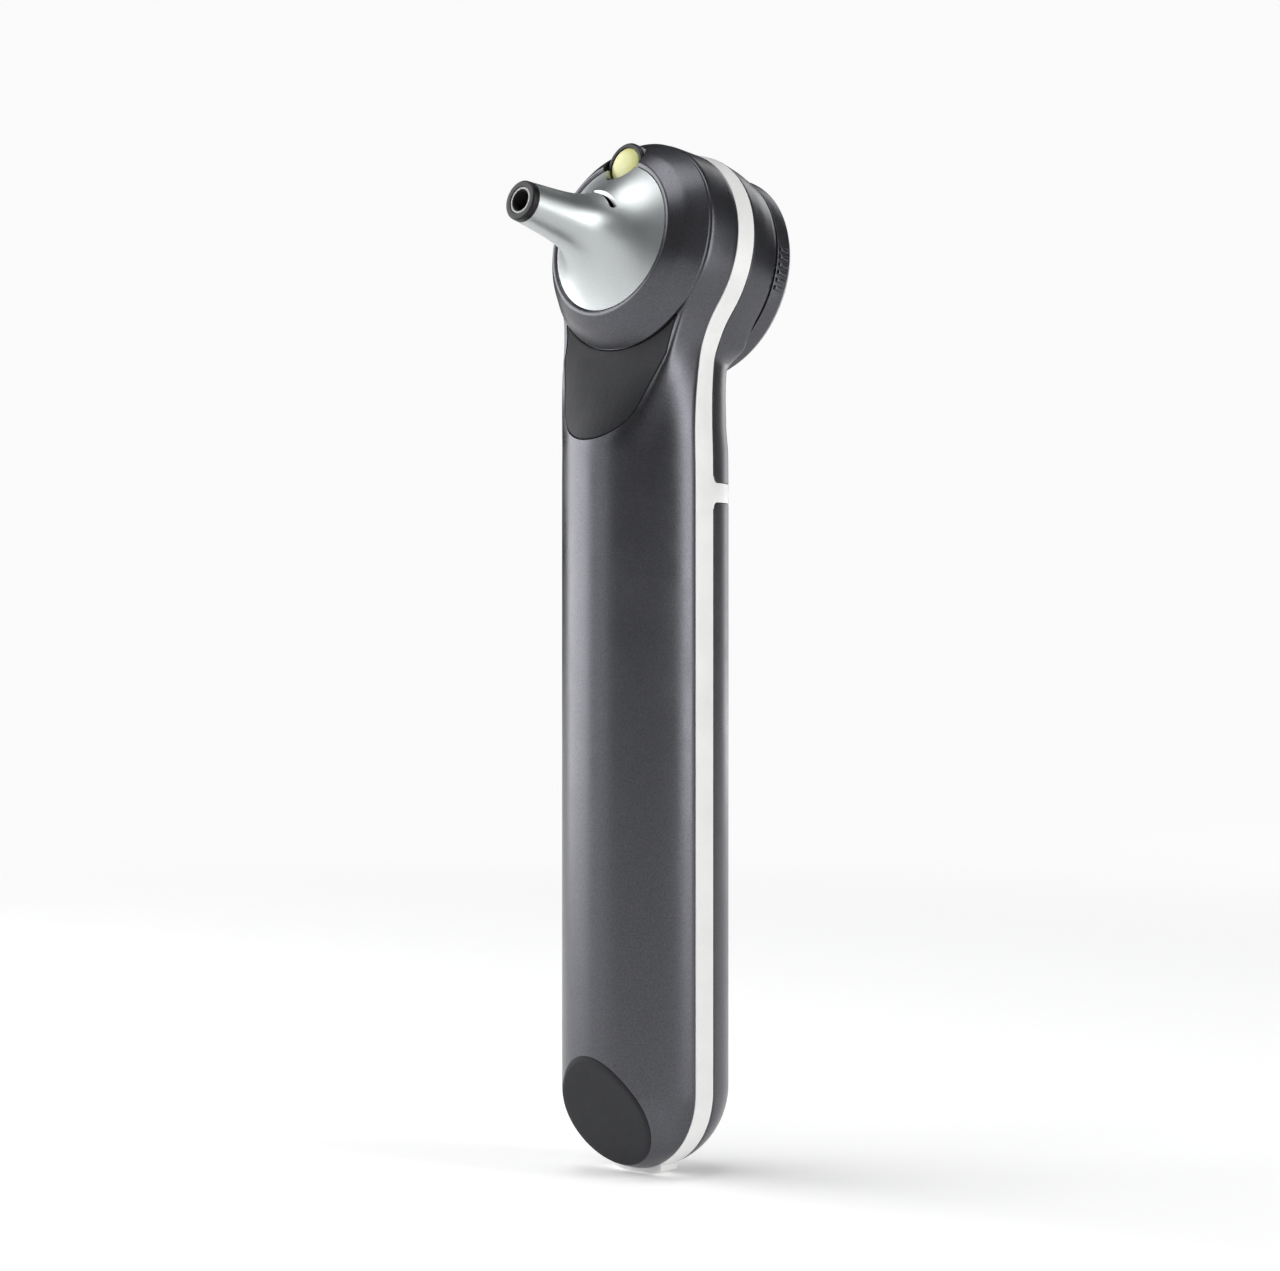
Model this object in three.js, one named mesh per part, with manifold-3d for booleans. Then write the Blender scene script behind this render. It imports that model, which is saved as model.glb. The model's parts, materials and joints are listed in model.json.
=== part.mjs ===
// Otoscope: a round handle with a hemispherical foot end, a tilted disc-shaped head, a speculum
// cone with a small examination lamp above it, and a focus dial at the back of the head.
// Units are millimetres. +Z runs up the handle, -Y is the side of the cone. The origin is the
// middle of the charging foot's lower face.
import * as THREE from 'three';
import { mergeVertices } from 'three/addons/utils/BufferGeometryUtils.js';
import Module from 'manifold-3d';

const wasm = await Module();
wasm.setup();

const deg = Math.PI / 180;

// ---------- driving dimensions ----------
const GAP = 0.3;                 // clearance kept between neighbouring pieces
const WALL = 1.8;                // thickness of the casing
const HANDLE_R = 15;             // round handle
const FOOT_RISE = 0.5;           // how far the charging foot stands below the round end
const BALL_Z = FOOT_RISE + HANDLE_R;
const HEAD_TILT = 12 * deg;      // the cone points this much above the horizontal
const HEAD_R = 20;               // head disc, at the middle of the white band
const HEAD_H = 164.7;            // height of the head's centre, measured along the spine
const NECK_W = 14.6;             // half width of the neck
const NECK_FILLET_R = 19;        // concave fillet between neck and head disc
const NECK_START_H = 122;        // the handle starts to narrow here
const BEND_START_H = 131;        // the spine bends by HEAD_TILT over BEND_LENGTH
const BEND_LENGTH = 20;
const FLATTEN_FROM_H = 129;      // the round section turns into the flat-faced head section
const FLATTEN_TO_H = 149.5;
const REAR_FLATTEN_FROM_H = 138; // the back keeps its depth up to the dial
const BAND_HALF_HANDLE = 2.3;    // white band's half width on the handle
const BAND_HALF_HEAD = 1.8;      // and on the head
const HEAD_FRONT_D = 8.4;        // flat front of the head, ahead of the band's middle
const HEAD_REAR_D = 9.3;         // flat rear of the head, behind the band's middle
const BAND_T = 4.9;              // the band's middle, along the head axis from the head's reference
const FRONT_T = BAND_T - HEAD_FRONT_D;
const REAR_T = BAND_T + HEAD_REAR_D;

const COLLAR_OUTER_R = 19.2;
const COLLAR_INNER_R = 13.5;
const COLLAR_INNER_T = -9.2;     // the collar rises from FRONT_T to here
const TIP_T = -31.65;            // end of the speculum
const TIP_R = 3.55;
const TIP_BORE_R = 1.95;
const CONE_BASE_T = -9.2;
const CONE_WALL = 0.7;
const LAMP_UP = 13.7;            // lamp axis above the head axis
const LAMP_R = 4.3;
const LAMP_FACE_T = -8.4;

const SHIELD_R = 10;             // lower end of the button pad
const SHIELD_DROP = 26.6;        // its centre below the head axis
const SHIELD_RIM = 1.6;          // the casing keeps this much beside the pad
const HORN_TOP_UP = -11;         // the pad's two horns end this far from the head axis
const BUTTON_TRAVEL = 0.5;
const PAD_T = 1.4;               // thickness of the button pad

const BASE_CUT_TILT = 25.2 * deg; // the flat on the foot end looks this much below the horizontal
const BASE_CUT_DISTANCE = 11.25; // its distance from the centre of the round end
const BRANCH_Z = 121.7;          // the white cross strip at the back
const BRANCH_H = 3.6;

const BASE_PAD_T = 0.9;          // the pad on that flat
const BASE_PAD_INSET = 0.25;     // its rim stays this far inside the skin

const TIP_CAP_LENGTH = 1.3;      // black rim of the speculum's tip
const SLOT_T = -15;              // arc slot in the cone: its place along the axis, and its width
const SLOT_W = 1.2;
const OPTIC_HOLE_R = 11.2;       // hole in the front of the head for the optics
const OPTIC_R = 7.6;             // bore of the cone's seat and seal
const SEAT_R = 9;                // outer radius of both
const TUBE_R = 7.3;              // viewing tube inside them
const SEAL_T = -10.1;            // the seal, then the seat behind it
const SEAT_T = -8.9;

const DIAL_R = 19.2;             // focus dial
const DIAL_T0 = REAR_T + GAP;
const DIAL_T1 = 18.6;
const DIAL_HUB_R = 13.1;         // its hub goes into the hole in the rear cover
const DIAL_STEP = 1.6;           // depth of the hub, and of the seat for the eyepiece ring
const RIB_COUNT = 6;             // grip ribs on each side
const RIB_PITCH = 4.3 * deg;
const EYEPIECE_R = 14.4;
const WINDOW_R = 10.2;
const LENS_T = 8.2;              // loupe lens, free to slide 1.5 mm each way along the head axis
const LENS_R = 9.7;
const LENS_CELL_R = 11.4;

const CELL_R = 9.1;              // battery cell
const CELL_LENGTH = 65;
const CELL_Y = 2.4;
const CELL_Z = 42;
const CELL_TOP = CELL_Z + CELL_LENGTH;
const CARRIER_WALL = 1.4;
const BOARD_Y = -10.3;           // circuit board, middle of its thickness
const BOARD_T = 1.2;
const SWITCH_Z = 136;            // the button's switch
const SWITCH_Y = -7.6;
const SCREW_Z = [CELL_Z - 11, CELL_TOP + 8]; // the two screws that hold the battery carrier
const POST_R = 2.8;              // the posts that they go into
const POST_BORE_R = 1.4;

const FOOT_ROUND_R = 15.9;       // the foot's underside, about the centre of the round end
const FOOT_W = 12;
const FOOT_T = 3.4;
const FOOT_H = 7;
const PIN_X = [-2.2, 2.2];       // charging pins
const PIN_R = 0.9;
const WIRE_R = 0.6;
const FAR = 30;                  // beyond the casing, measured from the band's middle

// ---------- small helpers ----------
const clamp01 = (v) => Math.min(1, Math.max(0, v));
const lerp = (a, b, f) => a + (b - a) * f;
const smooth = (from, to, v) => {
  const f = clamp01((v - from) / (to - from));
  return f * f * (3 - 2 * f);
};

// Merges shared vertices, drops collapsed triangles and turns the faces outwards.
function cleanMesh(geometry) {
  const bare = geometry.clone();
  bare.deleteAttribute('normal');
  bare.deleteAttribute('uv');
  const merged = mergeVertices(bare, 1e-4);
  const at = merged.getAttribute('position').array;
  const kept = [];
  let volume = 0;
  for (let i = 0; i < merged.index.count; i += 3) {
    const [a, b, c] = [0, 1, 2].map((k) => merged.index.getX(i + k));
    if (a === b || b === c || c === a) continue;
    kept.push(a, b, c);
    const [pa, pb, pc] = [a, b, c].map((k) => new THREE.Vector3().fromArray(at, 3 * k));
    volume += pa.dot(pb.cross(pc));
  }
  if (volume < 0) kept.reverse();
  return { vertProperties: Float32Array.from(at), triVerts: Uint32Array.from(kept) };
}

// A closed geometry as a solid that can be cut and joined.
function solid(geometry) {
  const { vertProperties, triVerts } = cleanMesh(geometry);
  return new wasm.Manifold(new wasm.Mesh({ numProp: 3, vertProperties, triVerts }));
}

// The solid's surface as a geometry.
function toGeometry(body) {
  const { vertProperties, triVerts } = body.getMesh();
  const geometry = new THREE.BufferGeometry();
  geometry.setAttribute('position', new THREE.BufferAttribute(Float32Array.from(vertProperties), 3));
  geometry.setIndex(new THREE.BufferAttribute(Uint32Array.from(triVerts), 1));
  return geometry;
}

const materials = {
  shell: { color: 0x45464b, roughness: 0.42, metalness: 0.55 },
  pad: { color: 0x3a3b3f, roughness: 0.75, metalness: 0.0 },
  white: { color: 0xf2f2f0, roughness: 0.35, metalness: 0.0 },
  silver: { color: 0xb4baba, roughness: 0.32, metalness: 0.95 },
  black: { color: 0x141416, roughness: 0.45, metalness: 0.0 },
  glass: { color: 0xdfe8ea, roughness: 0.05, metalness: 0.0 },
  phosphor: { color: 0xe8e4a8, roughness: 0.2, metalness: 0.0 },
  steel: { color: 0x9a9da0, roughness: 0.3, metalness: 1.0 },
  gold: { color: 0xc9a24b, roughness: 0.3, metalness: 1.0 },
  board: { color: 0x1f5a36, roughness: 0.5, metalness: 0.0 },
  plastic: { color: 0x55565a, roughness: 0.6, metalness: 0.0 },
  cell: { color: 0x3d6ea8, roughness: 0.4, metalness: 0.0 },
  rubber: { color: 0x202022, roughness: 0.85, metalness: 0.0 },
};

// A cut can leave slivers of no volume beside the piece: only the piece itself is kept.
function mainBody(body) {
  return body.decompose().reduce((a, b) => (b.volume() > a.volume() ? b : a));
}

function piece(name, body, look, parent) {
  const material = new THREE.MeshStandardMaterial(materials[look]);
  const mesh = new THREE.Mesh(toGeometry(mainBody(body)), material);
  mesh.name = name;
  parent.add(mesh);
  return mesh;
}

// ---------- basic solids ----------
// A turned solid about +Y from [radius, y] points: closed on itself, or from axis to axis.
function turned(points, segments = 32) {
  const profile = points.map(([r, y]) => new THREE.Vector2(r, y));
  const onAxis = points[0][0] === 0 && points[points.length - 1][0] === 0;
  if (!onAxis) profile.push(profile[0].clone());
  return solid(new THREE.LatheGeometry(profile, segments));
}

// A turned ring or disc between two radii and two places along +Y.
function ring(inner, outer, y0, y1, segments = 32) {
  const points = inner > 0
    ? [[inner, y0], [outer, y0], [outer, y1], [inner, y1]]
    : [[0, y0], [outer, y0], [outer, y1], [0, y1]];
  return turned(points, segments);
}

function block(sizeX, sizeY, sizeZ, x, y, z) {
  return solid(new THREE.BoxGeometry(sizeX, sizeY, sizeZ).translate(x, y, z));
}

// A rod along +Z.
function rodZ(radius, z0, z1, x, y, segments = 24) {
  const geometry = new THREE.CylinderGeometry(radius, radius, z1 - z0, segments);
  return solid(geometry.rotateX(Math.PI / 2).translate(x, y, (z0 + z1) / 2));
}

// A round or many-sided rod along a path.
function sweep(path, radius, steps, sides) {
  const section = new THREE.Shape();
  for (let i = 0; i < sides; i += 1) {
    const a = (i / sides) * 2 * Math.PI;
    if (i === 0) section.moveTo(radius * Math.cos(a), radius * Math.sin(a));
    else section.lineTo(radius * Math.cos(a), radius * Math.sin(a));
  }
  section.closePath();
  return solid(new THREE.ExtrudeGeometry(section, { steps, extrudePath: path, bevelEnabled: false }));
}

// A coil spring along +Z of round wire, as one swept tube.
function coil(radiusLow, radiusHigh, wire, turns, length, steps = 10, sides = 5) {
  class Helix extends THREE.Curve {
    getPoint(t, target = new THREE.Vector3()) {
      const r = lerp(radiusLow, radiusHigh, t);
      const a = t * turns * 2 * Math.PI;
      return target.set(r * Math.cos(a), r * Math.sin(a), wire + t * (length - 2 * wire));
    }
  }
  return sweep(new Helix(), wire, Math.round(turns * steps), sides);
}

// ---------- the body's outer skin ----------
// The skin is drawn flat first: x across, h up the spine, d ahead of the white band's middle.
// bend() then tilts everything above BEND_START_H back by up to HEAD_TILT.
const BEND_RATE = HEAD_TILT / BEND_LENGTH;
const BEND_END_Y = (1 - Math.cos(HEAD_TILT)) / BEND_RATE;
const BEND_END_Z = BEND_START_H + Math.sin(HEAD_TILT) / BEND_RATE;

function bend(x, h, d) {
  const angle = clamp01((h - BEND_START_H) / BEND_LENGTH) * HEAD_TILT;
  let y = 0;
  let z = h;
  if (h > BEND_START_H) {
    y = (1 - Math.cos(angle)) / BEND_RATE;
    z = BEND_START_H + Math.sin(angle) / BEND_RATE;
  }
  const past = h - BEND_START_H - BEND_LENGTH;
  if (past > 0) {
    y = BEND_END_Y + past * Math.sin(HEAD_TILT);
    z = BEND_END_Z + past * Math.cos(HEAD_TILT);
  }
  return new THREE.Vector3(x, y - d * Math.cos(angle), z + d * Math.sin(angle));
}

// Reference point on the head axis, from which places along that axis (t) are measured.
const HEAD_REF = bend(0, HEAD_H, BAND_T);
const head = new THREE.Group();
head.position.copy(HEAD_REF);
head.rotation.x = -HEAD_TILT;
head.updateMatrix();

// Moves a solid from the head's own frame (x, t, up) to the object's frame.
function fromHead(body) {
  return solid(toGeometry(body).applyMatrix4(head.matrix));
}

// Half of the outline at the band's middle, from the lowest point to the highest. Each station has
// its place, the inward normal, and the distance along it to the centre line.
function outlineStations() {
  const stations = [];
  const arcPoint = (cx, ch, r, angle, inwardSign) => {
    const [c, s] = [Math.cos(angle), Math.sin(angle)];
    const [nx, nh] = [inwardSign * c, inwardSign * s];
    const x = cx + r * c;
    stations.push({ x, h: ch + r * s, nx, nh, reach: cx === 0 ? r : x / -nx });
  };
  const ballSteps = 7;
  for (let i = 0; i <= ballSteps; i += 1) {
    arcPoint(0, BALL_Z, HANDLE_R, (i / ballSteps - 1) * 90 * deg, -1);
  }
  const neckSteps = 5;
  const filletH = HEAD_H - Math.sqrt((HEAD_R + NECK_FILLET_R) ** 2 - (NECK_W + NECK_FILLET_R) ** 2);
  for (let i = 0; i < neckSteps; i += 1) {
    const h = lerp(NECK_START_H, filletH, i / neckSteps);
    const x = lerp(HANDLE_R, NECK_W, smooth(NECK_START_H, filletH, h));
    stations.push({ x, h, nx: -1, nh: 0, reach: x });
  }
  const filletSteps = 4;
  const filletSweep = Math.acos((NECK_W + NECK_FILLET_R) / (HEAD_R + NECK_FILLET_R));
  for (let i = 0; i < filletSteps; i += 1) {
    const angle = Math.PI - (i / filletSteps) * filletSweep;
    arcPoint(NECK_W + NECK_FILLET_R, filletH, NECK_FILLET_R, angle, 1);
  }
  const headSteps = 12;
  for (let i = 0; i <= headSteps; i += 1) {
    arcPoint(0, HEAD_H, HEAD_R, lerp(-filletSweep, 90 * deg, i / headSteps), -1);
  }
  return stations;
}

// Cross-section nodes from the band's middle to the centre line. round is the angle on the round
// handle; reach and depth are the fractions of the flat-faced head section.
const FRONT_NODES = [
  { round: 0, reach: 1, depth: 0 },
  { round: 10, reach: 0.983, depth: 0.214 },
  { round: 26, reach: 0.974, depth: 0.6 },
  { round: 42, reach: 0.968, depth: 0.94 },
  { round: 50, reach: 0.955, depth: 1 },
  { round: 68, reach: 0.6, depth: 1 },
  { round: 90, reach: 0, depth: 1 },
];
const REAR_NODES = [
  { round: 0, reach: 1, depth: 0 },
  { round: 10, reach: 1.016, depth: 0.194 },
  { round: 26, reach: 1.0, depth: 0.55 },
  { round: 42, reach: 0.962, depth: 0.93 },
  { round: 50, reach: 0.93, depth: 1 },
  { round: 68, reach: 0.6, depth: 1 },
  { round: 90, reach: 0, depth: 1 },
];

// Closed solid of the skin, moved inwards by inset all round.
function skinSolid(inset) {
  const halfLoop = [
    ...FRONT_NODES.slice(1).reverse().map((n) => [n, 1]),
    ...REAR_NODES.map((n) => [n, -1]),
  ];
  const positions = [];
  const index = [];
  const rows = outlineStations().map((s) => {
    const reach = s.reach - inset;
    return halfLoop.map(([node, side]) => {
      const flat = smooth(side > 0 ? FLATTEN_FROM_H : REAR_FLATTEN_FROM_H, FLATTEN_TO_H, s.h);
      const headDepth = (side > 0 ? HEAD_FRONT_D : HEAD_REAR_D) - inset;
      const along = lerp(Math.cos(node.round * deg), node.reach, flat) * reach;
      const fullDepth = HANDLE_R - inset;
      const round = Math.sin(node.round * deg) * fullDepth;
      const depth = lerp(round, node.depth * headDepth, flat);
      const inward = s.reach - along;
      const x = Math.max(0, s.x + s.nx * inward);
      return [x < 1e-9 ? 0 : x, s.h + s.nh * inward, side * depth];
    });
  });
  for (const mirror of [1, -1]) {
    const base = positions.length / 3;
    const count = halfLoop.length;
    for (const row of rows) {
      for (const [x, h, d] of row) positions.push(...bend(mirror * x, h, d).toArray());
    }
    for (let i = 0; i + 1 < rows.length; i += 1) {
      for (let j = 0; j + 1 < count; j += 1) {
        const a = base + i * count + j;
        const corners = [a, a + 1, a + count + 1, a + count];
        const [p, q, r, s] = mirror > 0 ? corners : corners.reverse();
        index.push(p, q, r, p, r, s);
      }
    }
  }
  const geometry = new THREE.BufferGeometry();
  geometry.setAttribute('position', new THREE.Float32BufferAttribute(positions, 3));
  geometry.setIndex(index);
  return solid(geometry);
}

// Everything between two depths from the band's middle, as a slab across the whole body.
function slab(depthLow, depthHigh) {
  const heights = [-20, BEND_START_H];
  for (let i = 1; i <= 4; i += 1) heights.push(BEND_START_H + (i / 4) * BEND_LENGTH);
  heights.push(220);
  const side = [];
  for (const h of heights) side.push(bend(0, h, depthLow(h)));
  for (const h of heights.reverse()) side.push(bend(0, h, depthHigh(h)));
  const shape = new THREE.Shape(side.map((p) => new THREE.Vector2(p.y, p.z)));
  const geometry = new THREE.ExtrudeGeometry(shape, { depth: 80, bevelEnabled: false });
  const toObject = new THREE.Matrix4().makeBasis(
    new THREE.Vector3(0, 1, 0), new THREE.Vector3(0, 0, 1), new THREE.Vector3(1, 0, 0));
  return solid(geometry.translate(0, 0, -40).applyMatrix4(toObject));
}

function bandHalf(h) {
  return lerp(BAND_HALF_HANDLE, BAND_HALF_HEAD, smooth(FLATTEN_FROM_H, FLATTEN_TO_H, h));
}

const skin = skinSolid(0);
const cavity = skinSolid(WALL);
const casing = skin.subtract(cavity);
const frontSlab = slab((h) => bandHalf(h) + GAP / 2, () => FAR);
const bandSlab = slab((h) => -bandHalf(h) + GAP / 2, (h) => bandHalf(h) - GAP / 2);
const rearSlab = slab(() => -FAR, (h) => -bandHalf(h) - GAP / 2);

// ---------- casing ----------
// The button pad's outline, in the head's frame: a hull of the collar's circle and a lower circle.
function shieldShape(grow) {
  const [big, small] = [COLLAR_OUTER_R + grow, SHIELD_R + grow];
  const lean = Math.asin((big - small) / SHIELD_DROP);
  const shape = new THREE.Shape();
  shape.absarc(0, 0, big, Math.PI + lean, -lean, true);
  shape.absarc(0, -SHIELD_DROP, small, -lean, Math.PI + lean, true);
  shape.closePath();
  return shape;
}

// The body's outline seen along the head axis, moved inwards.
function outlineShape(inset) {
  const half = outlineStations().map((s) => [s.x + s.nx * inset, s.h + s.nh * inset - HEAD_H]);
  const other = half.slice(1, -1).reverse().map(([x, up]) => [-x, up]);
  return new THREE.Shape([...half, ...other].map(([x, up]) => new THREE.Vector2(x, up)));
}

// Extrudes an outline in x and up along the head axis, from t0 to t1, in the head's frame.
function alongHead(shape, t0, t1, curveSegments = 12) {
  const options = { depth: t1 - t0, bevelEnabled: false, curveSegments };
  const geometry = new THREE.ExtrudeGeometry(shape, options);
  const toHead = new THREE.Matrix4().makeBasis(
    new THREE.Vector3(1, 0, 0), new THREE.Vector3(0, 0, 1), new THREE.Vector3(0, 1, 0));
  return solid(geometry.applyMatrix4(toHead).translate(0, t0, 0));
}

// A rod on the lamp's axis, in the head's frame, to cut room for the lamp.
function lampRod(grow, t0, t1) {
  return solid(new THREE.CylinderGeometry(LAMP_R + grow, LAMP_R + grow, t1 - t0, 24)
    .translate(0, (t0 + t1) / 2, LAMP_UP));
}

// The flat on the front of the round end, as a block that starts lift beyond the flat's face.
function baseCut(lift) {
  const size = 40;
  return solid(new THREE.BoxGeometry(size, size, size)
    .translate(0, -size / 2 - BASE_CUT_DISTANCE - lift, 0)
    .rotateX(BASE_CUT_TILT).translate(0, 0, BALL_Z));
}

function basePad() {
  return baseCut(-BASE_PAD_T).subtract(baseCut(0)).intersect(skinSolid(BASE_PAD_INSET));
}

const baseFloor = solid(new THREE.CylinderGeometry(12, 12, WALL, 24)
  .translate(0, -BASE_CUT_DISTANCE + BASE_PAD_T + GAP + WALL / 2, 0)
  .rotateX(BASE_CUT_TILT).translate(0, 0, BALL_Z));

// The layer of the body, measured along the head axis, that lies under the button pad's outline.
function underShield(grow, thick) {
  const behind = skin.translate([0, thick * Math.cos(HEAD_TILT), -thick * Math.sin(HEAD_TILT)]);
  const [prismFrom, prismTo] = [-FAR, FRONT_T + 6];
  const inRim = alongHead(outlineShape(SHIELD_RIM - grow), prismFrom, prismTo);
  const prism = fromHead(alongHead(shieldShape(grow), prismFrom, prismTo).intersect(inRim));
  const collar = fromHead(ring(0, COLLAR_OUTER_R - grow, prismFrom, prismTo, 36));
  const hornTips = fromHead(block(60, 60, 40, 0, 0, 20 + HORN_TOP_UP + grow));
  return skin.subtract(behind).intersect(prism).subtract(collar).subtract(hornTips);
}

// A hollow post behind the front wall, which takes a carrier screw.
function screwPost(z) {
  const post = rodZ(POST_R, 0, HANDLE_R - 1, 0, 0, 16)
    .subtract(rodZ(POST_BORE_R, -1, 5, 0, 0, 16));
  return post.rotate([90, 0, 0]).translate([0, -0.2, z]);
}

// Front half of the casing: the pocket of the button, the flat of the foot end, and the openings.
function frontShell() {
  const opticHole = fromHead(ring(0, OPTIC_HOLE_R, FRONT_T - 2, FRONT_T + 4));
  const pocket = underShield(GAP / 2, PAD_T + BUTTON_TRAVEL + GAP);
  const flatted = casing.add(baseFloor.intersect(skin)).subtract(baseCut(-BASE_PAD_T - GAP));
  const collarRoom = fromHead(ring(0, COLLAR_OUTER_R + 0.1, FRONT_T - 10, FRONT_T, 36));
  const posts = SCREW_Z.map(screwPost).reduce((a, b) => a.add(b)).intersect(skinSolid(WALL / 2));
  return flatted.intersect(frontSlab).add(posts)
    .subtract(pocket).subtract(opticHole).subtract(collarRoom);
}

// The white band all round, with its cross strip at the back and a slot for the foot.
function midBand() {
  const branch = casing.intersect(block(60, 40, BRANCH_H, 0, 20, BRANCH_Z)).subtract(
    slab((h) => -bandHalf(h) + 0.6, () => FAR));
  const footSlot = block(FOOT_W + GAP * 2, FOOT_T + GAP * 2, 12, 0, 0, 4);
  return casing.intersect(bandSlab).add(branch).subtract(footSlot);
}

const belowBranch = block(60, 60, 200, 0, 0, BRANCH_Z - BRANCH_H / 2 - GAP - 100);
const aboveBranch = block(60, 60, 200, 0, 0, BRANCH_Z + BRANCH_H / 2 + GAP + 100);

// ---------- dial, eyepiece and loupe ----------
function rearUpperCover() {
  const eyepieceHole = fromHead(ring(0, DIAL_HUB_R + GAP, REAR_T - 4, REAR_T + 1));
  const dialRoom = fromHead(ring(0, DIAL_R + GAP + 0.1, REAR_T, REAR_T + 10, 36));
  return casing.intersect(rearSlab).intersect(aboveBranch)
    .subtract(dialRoom).subtract(eyepieceHole);
}

// The dial with its hub, its seat for the eyepiece ring and its grip ribs.
function focusRing() {
  const boreR = DIAL_HUB_R - 0.9;
  let dial = turned([
    [DIAL_HUB_R, DIAL_T0 - DIAL_STEP], [DIAL_HUB_R, DIAL_T0], [DIAL_R - 0.1, DIAL_T0],
    [DIAL_R, DIAL_T1 - 1.2], [DIAL_R - 0.9, DIAL_T1], [EYEPIECE_R + GAP, DIAL_T1],
    [EYEPIECE_R + GAP, DIAL_T1 - DIAL_STEP], [boreR, DIAL_T1 - DIAL_STEP],
    [boreR, DIAL_T0 - DIAL_STEP],
  ], 36);
  for (const side of [0, Math.PI]) {
    for (let i = 0; i < RIB_COUNT; i += 1) {
      const angle = side + (i - (RIB_COUNT - 1) / 2) * RIB_PITCH;
      const rib = new THREE.BoxGeometry(1.2, DIAL_T1 - DIAL_T0 - DIAL_STEP, 0.7)
        .translate(DIAL_R - 0.35, (DIAL_T0 + DIAL_T1) / 2 - 0.4, 0).rotateY(angle);
      dial = dial.add(solid(rib));
    }
  }
  return dial;
}

// ---------- cone ----------
// Outer radius of the speculum, from its tip (0) to its base (1): a slim taper that flares out.
const coneRadius = (f) => TIP_R + 2 * f + (COLLAR_INNER_R - GAP - TIP_R - 2) * f ** 5;

function conePoints(inset, from, to, count) {
  const points = [];
  for (let i = 0; i <= count; i += 1) {
    const f = lerp(from, to, i / count);
    points.push([coneRadius(f) - inset, lerp(TIP_T, CONE_BASE_T, f)]);
  }
  return points;
}

const capFraction = TIP_CAP_LENGTH / (CONE_BASE_T - TIP_T);
const rimBack = FRONT_T - GAP - 1.5;

// Hollow from tip to base, with the arc slot and room for the lamp.
function speculumCone() {
  const outer = conePoints(0, capFraction + 0.01, 1, 10);
  const rim = [[COLLAR_INNER_R - GAP, rimBack], [COLLAR_INNER_R - 1.6, rimBack]];
  const inner = conePoints(CONE_WALL, capFraction + 0.01, 0.97, 7).reverse();
  let cone = turned([...outer, ...rim, ...inner], 36);
  const slot = ring(5.0, 9.5, SLOT_T - SLOT_W / 2, SLOT_T + SLOT_W / 2, 36);
  const wedge = new THREE.Shape();
  wedge.moveTo(0, 0);
  wedge.lineTo(-1.4, 12);
  wedge.lineTo(12, 12);
  wedge.lineTo(12, 6.4);
  wedge.closePath();
  cone = cone.subtract(slot.intersect(alongHead(wedge, SLOT_T - 2, SLOT_T + 2)));
  return cone.subtract(lampRod(GAP, -16, 0));
}

// The sloping ring round the cone's base.
function collarRing() {
  const collar = turned([
    [COLLAR_OUTER_R, FRONT_T - GAP], [COLLAR_OUTER_R - 0.1, FRONT_T - GAP - 0.5],
    [16.6, -7.4], [14.3, COLLAR_INNER_T - 0.3], [COLLAR_INNER_R, COLLAR_INNER_T],
    [COLLAR_INNER_R, FRONT_T - GAP],
  ], 36);
  return collar.subtract(lampRod(GAP, -20, 0));
}

// ---------- small parts ----------
// A dome-headed screw along +Y, head towards -Y, with a cross of two slots.
function screw(headR, shankR, length) {
  const head0 = [[0, 0], [headR * 0.7, 0], [headR, 0.7], [headR, 1.3], [shankR, 1.3]];
  const body = turned([...head0, [shankR, length - 0.6], [shankR * 0.5, length], [0, length]], 16);
  const slots = block(headR * 1.2, 1, 0.5, 0, 0, 0).add(block(0.5, 1, headR * 1.2, 0, 0, 0));
  return body.subtract(slots);
}

// A small finned block behind the main lamp, in the head's frame.
function ledHeatsink() {
  const up = -12.8;
  let body = block(9, 2, 3.4, 0, 1.5, up);
  for (const x of [-4, -2, 0, 2, 4]) {
    body = body.add(block(0.7, 3, 3.4, x, 3.4, up));
  }
  return body;
}

// A round cell with its small positive cap on top.
function batteryCell() {
  const capR = 3;
  const capTop = CELL_LENGTH + 1.2;
  return turned([
    [0, 0], [CELL_R - 0.6, 0], [CELL_R, 0.6], [CELL_R, CELL_LENGTH - 0.8],
    [CELL_R - 0.8, CELL_LENGTH], [capR, CELL_LENGTH], [capR, capTop], [0, capTop],
  ], 24).rotate([90, 0, 0]).translate([0, CELL_Y, CELL_Z]);
}

// A half-round trough with end walls, open to the back, and a screw tab at each end.
function batteryCarrier() {
  const low = CELL_Z - 6;
  const high = CELL_TOP + 3;
  const outer = rodZ(CELL_R + CARRIER_WALL, low - 1, high + 1, 0, CELL_Y, 32);
  const inner = rodZ(CELL_R + GAP, low, high, 0, CELL_Y, 32);
  const openSide = block(30, 20, 200, 0, CELL_Y + 2 + 10, 80);
  const tab = (z) => block(9, 1.2, 7, 0, CELL_Y - 1.6, z);
  const tabs = tab(low - 4.4).add(tab(high + 4.4));
  const insideShell = skinSolid(WALL + GAP);
  const screwHoles = SCREW_Z
    .map((z) => rodZ(1.3, -6, 6, 0, 0, 16).rotate([90, 0, 0]).translate([0, 0, z]));
  let carrier = outer.subtract(inner).subtract(openSide).add(tabs);
  for (const hole of screwHoles) carrier = carrier.subtract(hole);
  return carrier.intersect(insideShell);
}

// The white foot block in the band's lower end. Its underside follows the round end down to a
// small flat, and it has a hole for each charging pin.
function chargeBlock() {
  const round = rodZ(FOOT_ROUND_R, -3, 3, 0, 0, 64).rotate([90, 0, 0]).translate([0, 0, BALL_Z]);
  let body = block(FOOT_W, FOOT_T, FOOT_H, 0, 0, FOOT_H / 2).intersect(round);
  for (const x of PIN_X) {
    body = body.subtract(rodZ(PIN_R + GAP, -1, FOOT_H + 2, x, 0, 12));
  }
  return body;
}

const root = new THREE.Group();
root.add(head);

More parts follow.
